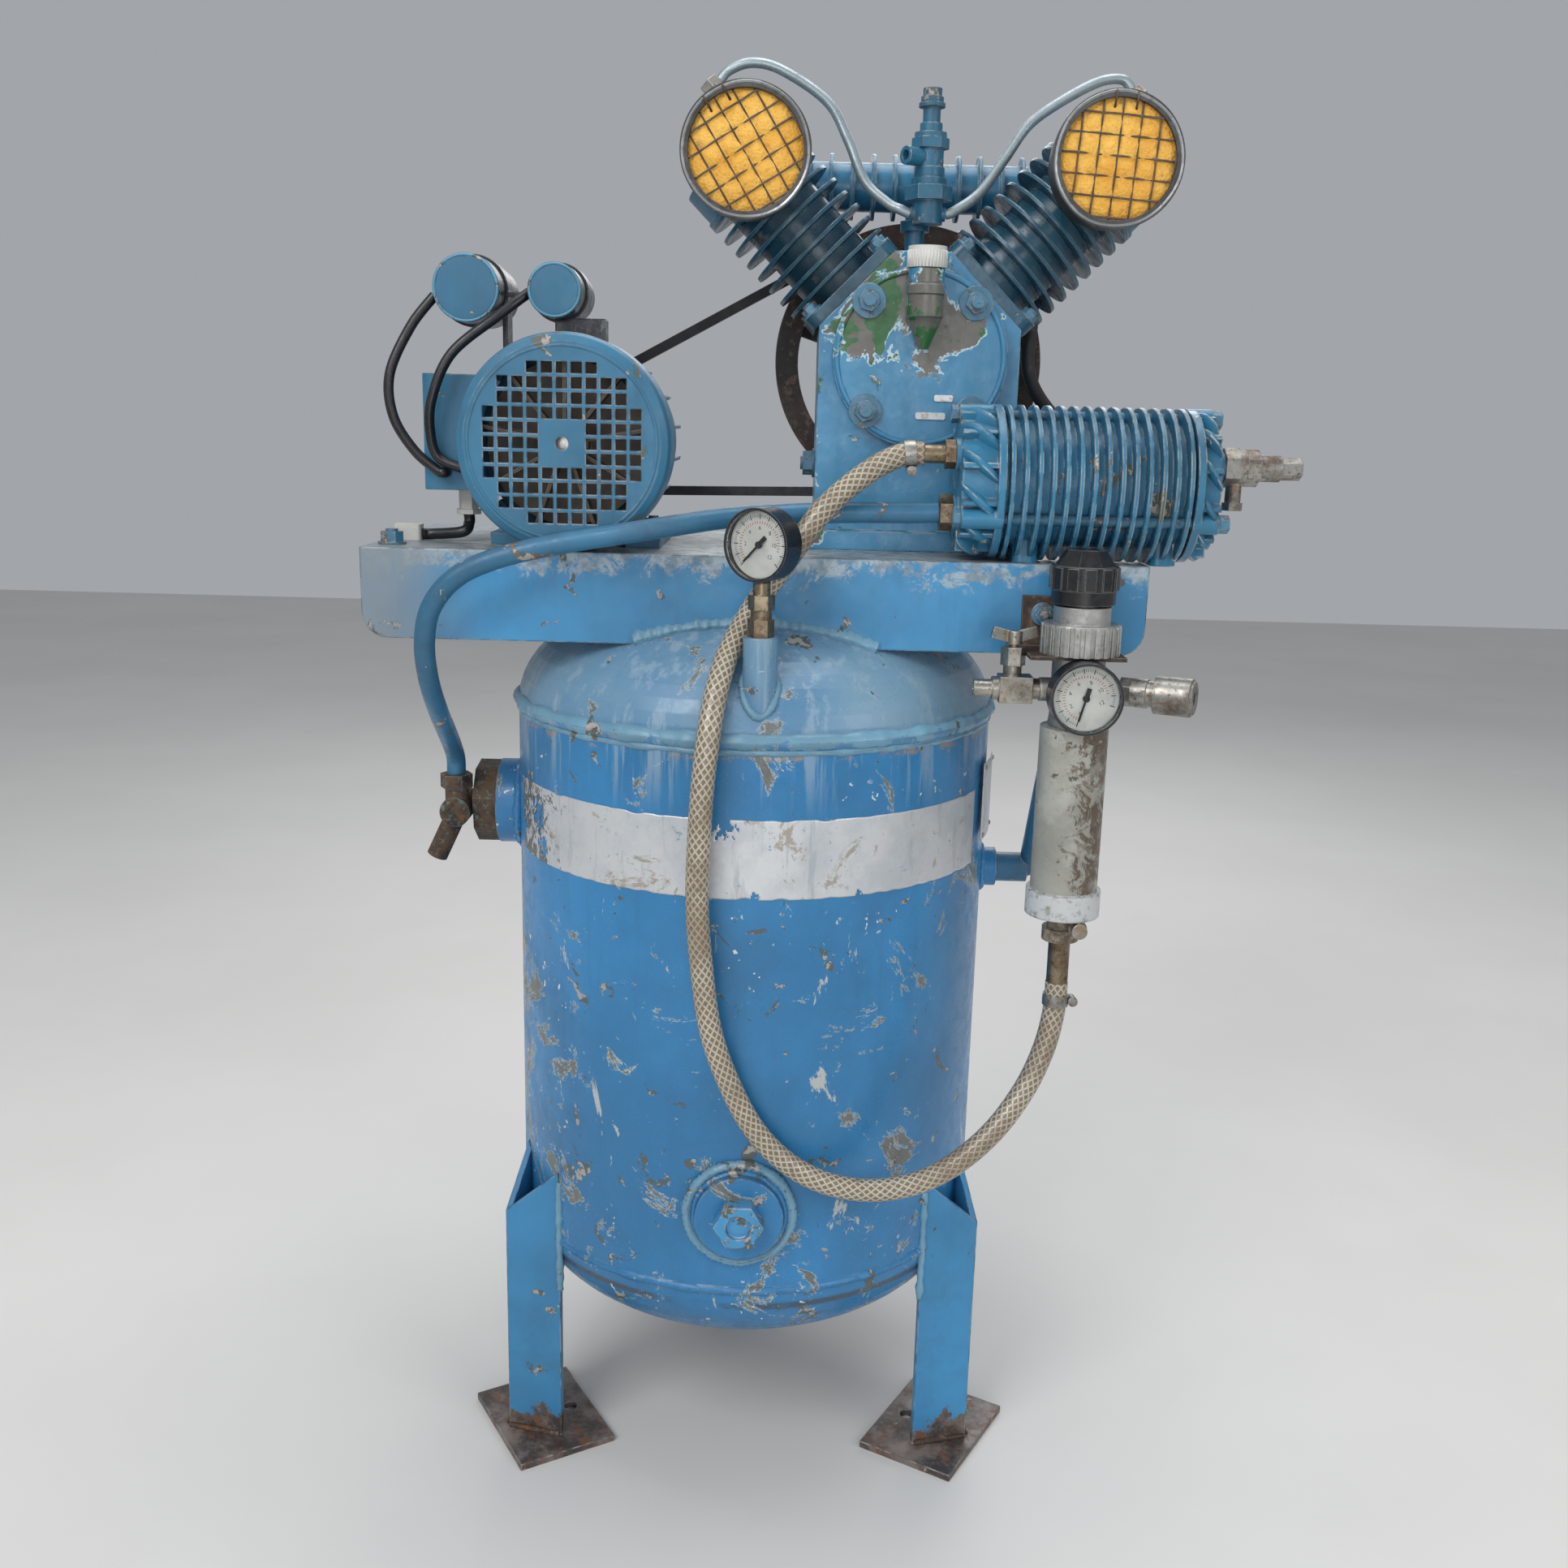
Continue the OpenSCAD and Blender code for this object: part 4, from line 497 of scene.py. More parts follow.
def case_marks(m, tone, broad, fine):
    """Broad flaked areas down to a green coat and grey metal round the filler and the left edge."""
    area = m.noise(16, 6, 0.62, 0.5)
    near = m.add("ShaderNodeVectorMath", operation="DISTANCE")
    m.put(m.where, near.inputs[0])
    near.inputs[1].default_value = (0.112, -0.06, 0.972)
    reach = m.plus(area, m.step(near.outputs["Value"], 0.015, 0.075, 0.16, -0.06))
    left = m.times(m.step(m.part(0), 0.075, 0.045), m.step(m.part(2), 0.90, 0.87, 0.0, 0.12))
    reach = m.plus(reach, left)
    flaked = m.step(reach, 0.575, 0.585)
    coat = m.mix(m.step(m.noise(28, 5, 0.6), 0.47, 0.50), (0.02, 0.115, 0.03), (0.125, 0.12, 0.105))
    rim = m.times(m.step(reach, 0.563, 0.572), m.step(reach, 0.597, 0.588))
    tone = m.mix(flaked, tone, coat)
    return m.mix(m.times(rim, m.step(fine, 0.44, 0.52)), tone, (0.45, 0.60, 0.66))


def bowl_marks(m, tone, broad, fine):
    """Baked-on brown dirt down the right side, a white bottom ring and a dull brass fitting."""
    z = m.part(2)
    side = m.plus(m.step(m.part(0), 0.232, 0.268, -0.09, 0.07), m.step(z, 0.62, 0.66, 0, 0.05))
    reach = m.plus(m.noise(70, 8, 0.78, 1.2), side)
    dirt = m.mix(fine, (0.028, 0.02, 0.014), (0.15, 0.105, 0.065))
    tone = m.mix(m.step(reach, 0.50, 0.57, 0, 0.95), tone, dirt)
    tone = m.mix(m.step(m.noise(35, 5), 0.5, 0.7, 0, 0.5), tone, (0.46, 0.46, 0.42))
    ring = m.mix(m.step(fine, 0.5, 0.68), (0.50, 0.52, 0.52), (0.24, 0.24, 0.22))
    tone = m.mix(m.step(z, 0.5375, 0.5365), tone, ring)
    fitting = m.mix(m.step(fine, 0.4, 0.6), (0.09, 0.065, 0.045), (0.27, 0.23, 0.16))
    return m.mix(m.step(z, 0.5165, 0.5155), tone, fitting)


# ---------- materials ----------

tank_blue = worn_paint("tank_blue", (0.03, 0.20, 0.43), 0.62, 0.6, 0.22, 0.3, lumps=0.1, rusty=0.25,
                       under=(0.085, 0.105, 0.10), bare=(0.40, 0.42, 0.40), region=tank_marks)
deck_blue = worn_paint("deck_blue", (0.045, 0.25, 0.48), 0.4, 0.9, 0.25, 0.36, lumps=0.12, region=deck_marks)
leg_blue = worn_paint("leg_blue", (0.04, 0.23, 0.45), 0.5, 0.85, 0.3, 0.36, lumps=0.15, region=leg_marks)
weld_blue = worn_paint("weld_blue", (0.16, 0.34, 0.47), 0.5, 1.1, 0.2, 0.36, lumps=0.6, bare=(0.5, 0.55, 0.57))
bolt_blue = worn_paint("bolt_blue", (0.06, 0.20, 0.31), 1.1, 1.1, 0.5, 0.34, size=2.2, bare=(0.42, 0.44, 0.44),
                       under=(0.11, 0.09, 0.075), edge=1.4 * MM)
pipe_blue = worn_paint("pipe_blue", (0.03, 0.15, 0.27), 0.75, 0.6, 0.4, 0.36, under=(0.13, 0.10, 0.07), size=1.6)
motor_blue = worn_paint("motor_blue", (0.028, 0.15, 0.26), 0.25, 0.45, 0.3, 0.42, lumps=0.12)
pump_blue = worn_paint("pump_blue", (0.05, 0.24, 0.42), 0.5, 0.75, 0.3, 0.32, under=(0.035, 0.10, 0.05), lumps=0.6,
                       rusty=0.15, region=case_marks)
# Painted shade and highlight: the finned cylinders' blue is far darker than the pump's, as shade between the fins, and
# their strong pale edges are partly painted highlights.
shaded_fin_blue = worn_paint("shaded_fin_blue", (0.014, 0.085, 0.14), 0.5, 1.25, 0.45, 0.24, bare=(0.24, 0.33, 0.38), lumps=0.5,
                      edge=1.6 * MM)
head_blue = worn_paint("head_blue", (0.02, 0.13, 0.22), 0.6, 0.9, 0.4, 0.3, lumps=0.5, edge=1.6 * MM)
cooler_blue = worn_paint("cooler_blue", (0.03, 0.19, 0.33), 0.7, 1.35, 0.4, 0.3, bare=(0.60, 0.61, 0.57), lumps=0.4,
                         edge=2.1 * MM)
stack_blue = worn_paint("stack_blue", (0.02, 0.14, 0.24), 0.8, 0.8, 0.45, 0.34, size=1.8, edge=1.2 * MM)
plug_blue = worn_paint("plug_blue", (0.05, 0.25, 0.47), 1.2, 1.0, 0.3, 0.38, size=1.8, bare=(0.5, 0.52, 0.52))
can_black = worn_paint("can_black", (0.006, 0.010, 0.016), 0.1, 0.1, 0.2, 0.26, size=1.5, bare=(0.12, 0.16, 0.2))
can_rim = worn_paint("can_rim", (0.10, 0.30, 0.44), 1.1, 1.2, 0.1, 0.4, size=2.2, bare=(0.6, 0.66, 0.66),
                     edge=1 * MM)
bowl_grey = worn_paint("bowl_grey", (0.34, 0.34, 0.30), 0.3, 0.3, 0.3, 0.36, under=(0.10, 0.09, 0.07), size=1.7,
                       bare=(0.5, 0.5, 0.46), region=bowl_marks)
zinc = old_metal("zinc", (0.46, 0.45, 0.42), (0.12, 0.095, 0.07), 0.36, stain=0.6, tint=(0.16, 0.10, 0.06))
rim_zinc = old_metal("rim_zinc", (0.33, 0.35, 0.36), (0.10, 0.09, 0.08), 0.36, 0.85, stain=0.5, depth=0.2 * MM)
# Painted shadow: the filter cans get a dark metal over their zinc, standing in for the shade inside them round the
# foam.
can_shadow_dark = old_metal("can_shadow_dark", (0.10, 0.10, 0.10), (0.04, 0.035, 0.03), 0.5, 0.6, stain=0.6)
bezel = old_metal("bezel", (0.14, 0.15, 0.16), (0.03, 0.03, 0.035), 0.25, 0.8, stain=0.5, size=2)
tube_zinc = old_metal("tube_zinc", (0.36, 0.43, 0.46), (0.16, 0.19, 0.2), 0.34, 0.6, stain=0.35)
nickel = old_metal("nickel", (0.34, 0.335, 0.31), (0.11, 0.08, 0.06), 0.42, 0.85, stain=0.85, size=1.8,
                   tint=(0.19, 0.12, 0.07))
ring_zinc = old_metal("ring_zinc", (0.50, 0.50, 0.48), (0.10, 0.09, 0.07), 0.42, 0.85, stain=0.5, depth=0.4 * MM)
brass = old_metal("brass", (0.29, 0.235, 0.16), (0.085, 0.05, 0.03), 0.38, 0.9, stain=0.8, size=1.5,
                  tint=(0.13, 0.075, 0.045))
tap_grey = old_metal("tap_grey", (0.42, 0.40, 0.36), (0.13, 0.11, 0.085), 0.32, 0.95, stain=0.7, size=1.8,
                     tint=(0.30, 0.22, 0.12))
steel = old_metal("ground_steel", (0.5, 0.5, 0.5), (0.2, 0.19, 0.18), 0.28, 1.0, stain=0.3)
rusty = rusty_steel("rusty")
valve_rust = rusty_steel("valve_rust", (0.12, 0.07, 0.04), (0.02, 0.018, 0.016), (0.16, 0.26, 0.24), size=2)
wheel_rust = rusty_steel("wheel_rust", (0.055, 0.036, 0.028), (0.02, 0.017, 0.016), (0.16, 0.12, 0.09))
knob_black = moulded("knob_black", (0.012, 0.012, 0.013), 0.22, 0.7)
belt_black = moulded("belt_black", (0.016, 0.016, 0.017), 0.5, 0.5, (0.12, 0.11, 0.1))
sheath_black = moulded("sheath_black", (0.012, 0.012, 0.014), 0.26, 0.3, (0.2, 0.2, 0.2))
cap_white = moulded("cap_white", (0.62, 0.62, 0.58), 0.3, 0.6, (0.12, 0.3, 0.42))
gland_white = moulded("gland_white", (0.6, 0.59, 0.54), 0.35, 0.6, (0.3, 0.27, 0.2))
fan_grey = moulded("fan_grey", (0.13, 0.105, 0.08), 0.5, 0.9, (0.55, 0.45, 0.33), edge=1.6 * MM)
dial_card = moulded("dial_card", (0.78, 0.78, 0.74), 0.4, 0.0)
ink_black = moulded("ink_black", (0.01, 0.01, 0.01), 0.4, 0.0)
ink_red = moulded("ink_red", (0.55, 0.06, 0.03), 0.4, 0.0)
gauge_black = moulded("gauge_black", (0.012, 0.014, 0.018), 0.22, 0.6, (0.3, 0.32, 0.33))


def glass_pane():
    """Clear glass with a faint haze."""
    m = Mat("glass_pane")
    m.shader.inputs["Transmission Weight"].default_value = 1.0
    m.shader.inputs["IOR"].default_value = 1.3
    haze = m.noise(60, 5, 0.7)
    return m.finish((0.97, 0.98, 0.97), m.step(haze, 0.4, 0.75, 0.01, 0.12))


def foam():
    """Open yellow-orange foam with pores painted darker as shade, and dust patches."""
    m = Mat("foam")
    pores = m.cells(420)
    broad = m.noise(30, 5, 0.7)
    tone = m.mix(m.step(broad, 0.35, 0.65), (0.72, 0.36, 0.05), (0.86, 0.50, 0.10))
    # Painted shade: the pores are darkened as the shade inside them.
    tone = m.mix(m.step(pores, 0.35, 0.05, 0, 0.45), tone, (0.36, 0.16, 0.03))
    tone = m.mix(m.step(m.noise(90, 6, 0.75), 0.58, 0.72, 0, 0.7), tone, (0.30, 0.20, 0.10))
    return m.finish(tone, 0.9, m.plus(pores, broad), 0.8 * MM)


def braid():
    """Clear hose over a crossed yarn braid, laid out along the tube's UV."""
    m = Mat("braid", coords="UV")
    around, along = m.part(0), m.part(1)
    turns = m.times(around, 10.0)
    run = m.times(along, 1 / (7.5 * MM))

    def yarn(sign):
        phase = m.calc("FRACT", m.plus(turns, m.times(run, sign)))
        return m.step(m.calc("ABSOLUTE", m.calc("SUBTRACT", phase, 0.5)), 0.10, 0.26, 1, 0)

    both = m.calc("MAXIMUM", yarn(1.0), yarn(-1.0))
    geometry = m.add("ShaderNodeTexCoord").outputs["Object"]
    broad = m.noise(14, 5, 0.7, where=geometry)
    fine = m.noise(160, 5, 0.7, where=geometry)
    tone = m.mix(both, (0.17, 0.13, 0.08), (0.47, 0.43, 0.34))
    tone = m.mix(m.step(broad, 0.42, 0.68, 0, 0.65), tone, (0.17, 0.11, 0.06))
    tone = m.mix(m.step(fine, 0.55, 0.72, 0, 0.6), tone, (0.08, 0.06, 0.045))
    m.shader.inputs["Coat Weight"].default_value = 0.6
    m.shader.inputs["Coat Roughness"].default_value = 0.18
    return m.finish(tone, m.step(fine, 0.3, 0.7, 0.25, 0.5), both, 0.5 * MM)


def label_silver():
    """A blank worn sticker, silver-white with scuffs and stains."""
    m = Mat("label_silver")
    broad, fine = m.noise(16, 6, 0.7), m.noise(120, 6, 0.72)
    streak = m.noise(1, 5, 0.7, where=m.stretched(90, 90, 12))
    tone = m.mix(m.step(broad, 0.35, 0.62), (0.47, 0.50, 0.53), (0.62, 0.64, 0.66))
    tone = m.mix(m.step(streak, 0.55, 0.68, 0, 0.5), tone, (0.30, 0.34, 0.38))
    tone = m.mix(m.step(m.noise(26, 7, 0.78, 0.6), 0.585, 0.62, 0, 0.85), tone, (0.36, 0.31, 0.24))
    left = m.step(m.plus(m.noise(70, 7, 0.75, 0.8), m.step(m.part(0), -0.12, -0.18, -0.2, 0.06)), 0.52, 0.56)
    tone = m.mix(left, tone, (0.14, 0.15, 0.14))
    tone = m.mix(m.step(fine, 0.62, 0.68, 0, 0.8), tone, (0.12, 0.26, 0.36))
    return m.finish(tone, m.step(fine, 0.3, 0.7, 0.28, 0.5), fine, 0.1 * MM, metal=m.step(broad, 0.3, 0.7, 0.2, 0.5))


foam_yellow, braided, silver_label, glass = foam(), braid(), label_silver(), glass_pane()

LOOKS = {
    tank_blue: ["tank"], plug_blue: ["drain_plug"], leg_blue: ["legs"], deck_blue: ["deck"],
    pipe_blue: ["discharge_pipe", "outlet_pipe"],
    motor_blue: ["motor_frame", "end_shield", "fan_cowl", "terminal_box"], pump_blue: ["crankcase", "crankcase_cover"],
    shaded_fin_blue: ["cylinders"], head_blue: ["heads"], cooler_blue: ["cooler_barrel", "cooler_covers", "manifold"],
    stack_blue: ["pilot_valve"], can_black: ["capacitors", "capacitor_bracket"], bowl_grey: ["filter_bowl"],
    valve_rust: ["check_valve"], wheel_rust: ["flywheel", "motor_pulley"], rusty: ["regulator_bracket"],
    steel: ["stator", "ball_bearings", "motor_rotor", "crankshaft", "piston_left", "piston_right", "rod_left",
            "rod_right"],
    can_shadow_dark: ["filter_cans"], bolt_blue: ["fasteners"], zinc: ["unloaders"], tube_zinc: ["unloader_tubes"],
    ring_zinc: ["regulator_body"],
    nickel: ["relief_valve", "relief_ring", "coupler_body", "coupler_sleeve"], knob_black: ["regulator_knob"],
    brass: ["pipe_fittings"], tap_grey: ["tap_body", "tap_wing", "drain_knob"],
    belt_black: ["drive_belt", "delivery_hose"],
    sheath_black: ["cables"], cap_white: ["oil_cap"], gland_white: ["cable_fittings"], fan_grey: ["cooling_fan"],
    dial_card: ["gauge_dials"], ink_black: ["tank_gauge_needle", "regulator_gauge_needle"],
    gauge_black: ["gauge_cases"],
    glass: ["gauge_lenses"], foam_yellow: ["filter_elements"], braided: ["air_hose"],
}
for look, members in LOOKS.items():
    for member in members:
        nodes[member].data.materials.clear()
        nodes[member].data.materials.append(look)

# ---------- the air hose ----------

HOSE_D = 18 * MM
HOSE_ROUTE = [Vector(p) * MM for p in (
    (127, -129, 865), (112, -129, 864), (92, -132, 855), (70, -138, 839), (50, -146, 820),
    (33, -151, 796), (15, -154, 770), (-3, -161, 742), (-17, -179, 716), (-23, -195, 698), (-27, -207, 678),
    (-30, -216, 654), (-33, -219, 624), (-35, -219, 585), (-36, -219, 530), (-32, -219, 480), (-25, -219, 432),
    (-12, -219, 392), (8, -219, 352), (32, -218, 324), (62, -217, 305), (98, -214, 296), (134, -210, 299),
    (168, -203, 313), (200, -193, 338), (225, -182, 370), (240, -174, 402), (247, -169, 432), (248, -168, 458))]


def clip(name, centre, axis, inner=HOSE_D / 2):
    """A worm-drive hose clip: a band with its screw housing."""
    axis = Vector(axis).normalized()
    width = 9 * MM
    outer = inner + 1.3 * MM
    band = [(inner, 0), (outer, 0), (outer + 0.2 * MM, width / 2), (outer, width), (inner, width)]
    lathe(name, band, Vector(centre) - axis * width / 2, axis, nickel, sides=40, ring=True)
    out = axis.cross(BACK).normalized()
    along = axis.cross(out).normalized()
    start = Vector(centre) + out * (inner + 4 * MM)
    screw = in_mm((2.2, 0), (3.4, 1), (3.4, 9), (4, 9.2), (4, 12), (2.4, 12.4))
    lathe(name + "_screw", screw, start - along * 6 * MM, along, nickel, sides=12)
    return [bpy.data.objects[name], bpy.data.objects[name + "_screw"]]


def air_hose():
    """The braided hose from the cooler's port to the filter bowl, with a clip near each end."""
    path = smooth_route(HOSE_ROUTE, 8)
    hose = tube("hose", path, HOSE_D / 2, braided, sides=28)
    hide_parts("air_hose")
    clips = clip("hose_clip_top", path[6], path[7] - path[5])
    clips += clip("hose_clip_low", path[-6], path[-7] - path[-5])


air_hose()

# ---------- pipes and cables ----------


def run(name, node, slot, material, *tubes):
    """Round tubes that take one node's place. Each holds a diameter and its points, in millimetres."""
    verts, faces, uvs = [], [], []
    for diameter, points in tubes:
        path = smooth_route([Vector(p) * MM for p in points], 10)
        v, f, u = tube_data(path, diameter / 2 * MM, 20, start=len(verts))
        verts, faces, uvs = verts + v, faces + f, uvs + u
    made = piece(name, verts, faces, material, uvs=uvs)
    merge(made)
    soften(made, 50)
    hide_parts(node)


PIPE_ROUTE = ((141, -123, 821), (120, -123, 820), (70, -124, 819), (25, -130, 817), (-20, -145, 814), (-60, -157, 808),
              (-95, -162, 802), (-150, -163, 792), (-195, -163, 780), (-225, -162, 765), (-244, -160, 742),
              (-251, -154, 714), (-252, -140, 684), (-252, -112, 655), (-254, -74, 630), (-256, -44, 611),
              (-256, -31, 597), (-256, -30, 583))
OUTLET_BORE = ((203, 0, 503), (212, 0, 503), (218, 0, 503))
OUTLET_STUB = ((217, 0, 503), (230, 0, 503), (245, 0, 503))
OUTLET_ROUTE = ((237, 0, 503), (247, -2, 506), (248, -12, 525), (248, -60, 598), (248, -98, 653), (248, -118, 681),
                (248, -134, 693), (248, -144, 693))
UNLOADER_LEFT = ((-38.6, 10, 1151.4), (-30.6, 10, 1159.4), (-13, 10, 1165), (11, 10, 1160), (48, 8, 1137),
                 (66, 4, 1107), (80, -2, 1076), (99, -8, 1059), (109, -12, 1054), (117, -12, 1051))
UNLOADER_RIGHT = ((145, -12, 1051), (153, -12, 1054), (173, -6, 1069), (193, 2, 1097), (211, 8, 1123),
                  (235, 10, 1141), (265, 10, 1157), (284.6, 10, 1159.4), (292.6, 10, 1151.4))
DELIVERY_ROUTE = ((230, 80, 1059.7), (230, 80, 1047.7), (231, 74, 1021.7), (232, 72, 973.7), (231, 72, 938.7),
                  (242, 68, 911.7), (267, 52, 883.7), (299, 16, 861.7), (335, -21, 846), (339, -33, 844),
                  (339, -43, 844))
BOX_LEAD = ((-236, -50, 806), (-236, -50, 799), (-240, -56, 792), (-266, -50, 789), (-274, -52, 789))
SMALL_CAN_LEAD = ((-182, -66, 979), (-203, -80, 961), (-239, -88, 931), (-255, -90, 896), (-257, -88, 869),
                  (-251, -86, 851), (-230, -87, 843), (-230, -75, 843))
LARGE_CAN_LEAD = ((-256, -66, 975), (-274, -72, 951), (-290, -78, 915), (-288, -80, 883), (-272, -82, 857),
                  (-254, -84, 842), (-248, -85, 840), (-248, -75, 840))

run("pipe_run", "discharge_pipe", "pipe_paint", pipe_blue, (16, PIPE_ROUTE))
run("outlet_run", "outlet_pipe", "pipe_paint", pipe_blue, (20, OUTLET_BORE), (26, OUTLET_STUB), (18, OUTLET_ROUTE))
run("unloader_runs", "unloader_tubes", "zinc_steel", tube_zinc, (8, UNLOADER_LEFT), (8, UNLOADER_RIGHT))
run("delivery_run", "delivery_hose", "belt_rubber", belt_black, (12, DELIVERY_ROUTE))
run("cable_runs", "cables", "cable_sheath", sheath_black, (9, BOX_LEAD), (8, SMALL_CAN_LEAD), (8, LARGE_CAN_LEAD))

# ---------- filters ----------


def filter_face(side, tilt):
    """Bulging foam under a crossed wire guard with two hooks over the rim."""
    centre = Vector((PUMP_X + side * FILTER_X, FILTER_FRONT, FILTER_Z))
    name = "left" if side < 0 else "right"
    turn = math.radians(tilt)
    across, over = Vector((math.cos(turn), 0, math.sin(turn))), Vector((-math.sin(turn), 0, math.cos(turn)))
    pitch, inner = 14.8 * MM, FILTER_R - 3 * MM

    def depth(x, z):
        """How far the foam stands out in front: pillows between the wires."""
        reach = min(1, math.hypot(x, z) / inner)
        pillow = abs(math.sin(math.pi * x / pitch)) * abs(math.sin(math.pi * z / pitch))
        return (3.2 * (1 - reach ** 4) + 2.4 * pillow ** 0.7 * (1 - reach ** 6)) * MM

    rings, sides = 46, 120
    verts, faces = [centre + BACK * (5 * MM - depth(0, 0))], []
    for i in range(1, rings + 1):
        for k in range(sides):
            angle = 2 * math.pi * k / sides
            r = inner * i / rings
            x, z = r * math.cos(angle), r * math.sin(angle)
            lump = 0.5 * MM * noise.noise(Vector((x, side, z)) * 160)
            verts.append(centre + across * x + over * z + BACK * (5 * MM - depth(x, z) + lump))
    for k in range(sides):
        faces.append((0, 1 + k, 1 + (k + 1) % sides))
        for i in range(rings - 1):
            a, b = 1 + i * sides + k, 1 + i * sides + (k + 1) % sides
            faces.append((a, a + sides, b + sides, b))
    piece("foam_" + name, verts, faces, foam_yellow)

    verts, faces = [], []

    def wire(path, radius=0.75 * MM):
        v, f, _ = tube_data(path, radius, 8, start=len(verts))
        verts.extend(v)
        faces.extend(f)

    for turned in (0, 1):
        for k in range(-3, 4):
            offset = (k + (0.15 if turned else -0.1)) * pitch
            half = math.sqrt(max(inner ** 2 - offset ** 2, 0)) + 1 * MM
            line = []
            for j in range(25):
                s = half * (2 * j / 24 - 1)
                x, z = (s, offset) if turned else (offset, s)
                weave = 0.7 * MM * math.cos(math.pi * (s / pitch + k + turned))
                sag = 1.6 * MM * (1 - (s / half) ** 2)
                line.append(centre + across * x + over * z + BACK * (2.6 * MM - sag + weave))
            wire(line)
    for place in (-1, 1):
        hook = centre + across * (place * 0.55 * pitch) + over * (inner + 1 * MM)
        wire([hook + BACK * 2 * MM - over * 9 * MM, hook - BACK * 1.2 * MM - over * 2 * MM,
              hook - BACK * 1.6 * MM + over * 1.5 * MM, hook + BACK * 0.5 * MM + over * 3 * MM], 0.9 * MM)
    piece("guard_" + name, verts, faces, rusty)
    rim = [(FILTER_R - 1.5 * MM, 3 * MM), (FILTER_R - 0.6 * MM, 0.2 * MM), (FILTER_R + 1.4 * MM, -0.6 * MM),
           (FILTER_R + 2.7 * MM, 0.6 * MM), (FILTER_R + 2.9 * MM, 5 * MM), (FILTER_R + 1 * MM, 6 * MM)]

    def wobble(angle):
        return 1 + 0.006 * math.sin(3 * angle + side) + 0.004 * math.sin(7 * angle)

    lathe("rim_" + name, rim, centre, BACK, rim_zinc, sides=96, wobble=wobble, ring=True)


filter_face(-1, 32)
filter_face(1, -4)

# ---------- tank: welds, label and plate ----------


def dome(radius):
    """Height of the tank's upper head at a radius."""
    return TOP_SEAM + HEAD_RISE * math.sqrt(max(0, 1 - (radius / TANK_R) ** 2))


def level_circle(z, radius, count):
    """A level circle about the tank's centre line."""
    turns = [2 * math.pi * k / count for k in range(count)]
    return [Vector((radius * math.cos(a), radius * math.sin(a), z)) for a in turns]


def tank_welds():
    """Beads on the seams, under the deck and round the bosses."""
    def seam(name, z, radius, size, material, lumps):
        bead(name, level_circle(z, radius, 420), size, material, True, lumps)

    def boss(name, centre, axis, radius, count, size, material, lumps):
        bead(name, circle(centre, axis, radius, count), size, material, True, lumps)

    seam("weld_top_seam", TOP_SEAM + 1 * MM, TANK_R - 2.5 * MM, 6.6 * MM, weld_blue, 0.18)
    seam("weld_top_lip", TOP_SEAM - 7 * MM, TANK_R - 1.6 * MM, 3.2 * MM, weld_blue, 0.3)
    seam("weld_low_seam", LOW_SEAM, TANK_R - 1.7 * MM, 4 * MM, tank_blue, 0.2)
    for y, name in ((DECK_LOW.y, "front"), (DECK_HIGH.y, "back")):
        line = []
        for k in range(90):
            x = -93 * MM + 190 * MM * k / 89
            line.append(Vector((x, y + math.copysign(3 * MM, -y), dome(math.hypot(x, y)) + 1.5 * MM)))
        bead("weld_deck_" + name, line, 6.5 * MM, weld_blue, lumps=0.35)
    loop = []
    for p in circle((TANK_GAUGE.x, TANK_GAUGE.y, 0), UP, 13.4 * MM, 60):
        loop.append(Vector((p.x, p.y, dome(math.hypot(p.x, p.y)) + 0.5 * MM)))
    bead("weld_gauge_boss", loop, 3.0 * MM, weld_blue, True, 0.35)
    boss("weld_plug_boss", (0, -TANK_R - 1.5 * MM, PLUG_Z), BACK, 42 * MM, 140, 4.2 * MM, weld_blue, 0.3)
    boss("weld_plug_ring", (0, -TANK_R - 4 * MM, PLUG_Z), BACK, 36.5 * MM, 120, 2.6 * MM, tank_blue, 0.3)
    boss("weld_inlet", (-TANK_R + 1 * MM, 0, INLET_Z), RIGHT, 37 * MM, 120, 4 * MM, tank_blue, 0.35)
    boss("weld_outlet", (TANK_R + 0.5 * MM, 0, OUTLET_Z), RIGHT, 18 * MM, 60, 3.4 * MM, tank_blue, 0.35)


def label():
    """A wide blank sticker round the tank's front, torn along its edges."""
    low, high, columns, rows = 530 * MM, 593 * MM, 480, 40
    verts, faces = [], []
    for i in range(columns + 1):
        angle = math.radians(-160 + 136 * i / columns)
        tear_low = 2.4 * MM * max(0, noise.noise(Vector((i * 0.075, 1, 0)))) ** 0.8
        tear_high = 2.0 * MM * max(0, noise.noise(Vector((i * 0.06, 5, 0)))) ** 0.8
        if i < 34:
            tear_low += (34 - i) * 0.25 * MM * abs(noise.noise(Vector((i * 0.3, 8, 0))))
        for j in range(rows + 1):
            z = low + tear_low + (high - tear_high - low - tear_low) * j / rows
            r = TANK_R + 0.35 * MM
            verts.append(Vector((r * math.cos(angle), r * math.sin(angle), z)))
    # Torn spots: share of the length, share of the height and size
    holes = [(0.085, 0.6, 0.022), (0.1, 0.2, 0.016), (0.0, 0.3, 0.02), (0.47, 0.97, 0.022), (0.53, 0.02, 0.007),
             (0.7, 0.0, 0.005)]
    for i in range(columns):
        for j in range(rows):
            u, v = i / columns, j / rows
            rough = noise.fractal(Vector((i * 0.22, j * 0.22, 3)), 0.7, 2.0, 4)
            torn = any(math.hypot(u - a, (v - b) * 0.13) < c * (1 + 1.1 * rough) for a, b, c in holes)
            if not torn:
                a = i * (rows + 1) + j
                faces.append((a, a + 1, a + rows + 2, a + rows + 1))
    made = piece("label_band", verts, faces, silver_label)
    thick = made.modifiers.new("thickness", "SOLIDIFY")
    thick.thickness, thick.offset = 0.25 * MM, 1


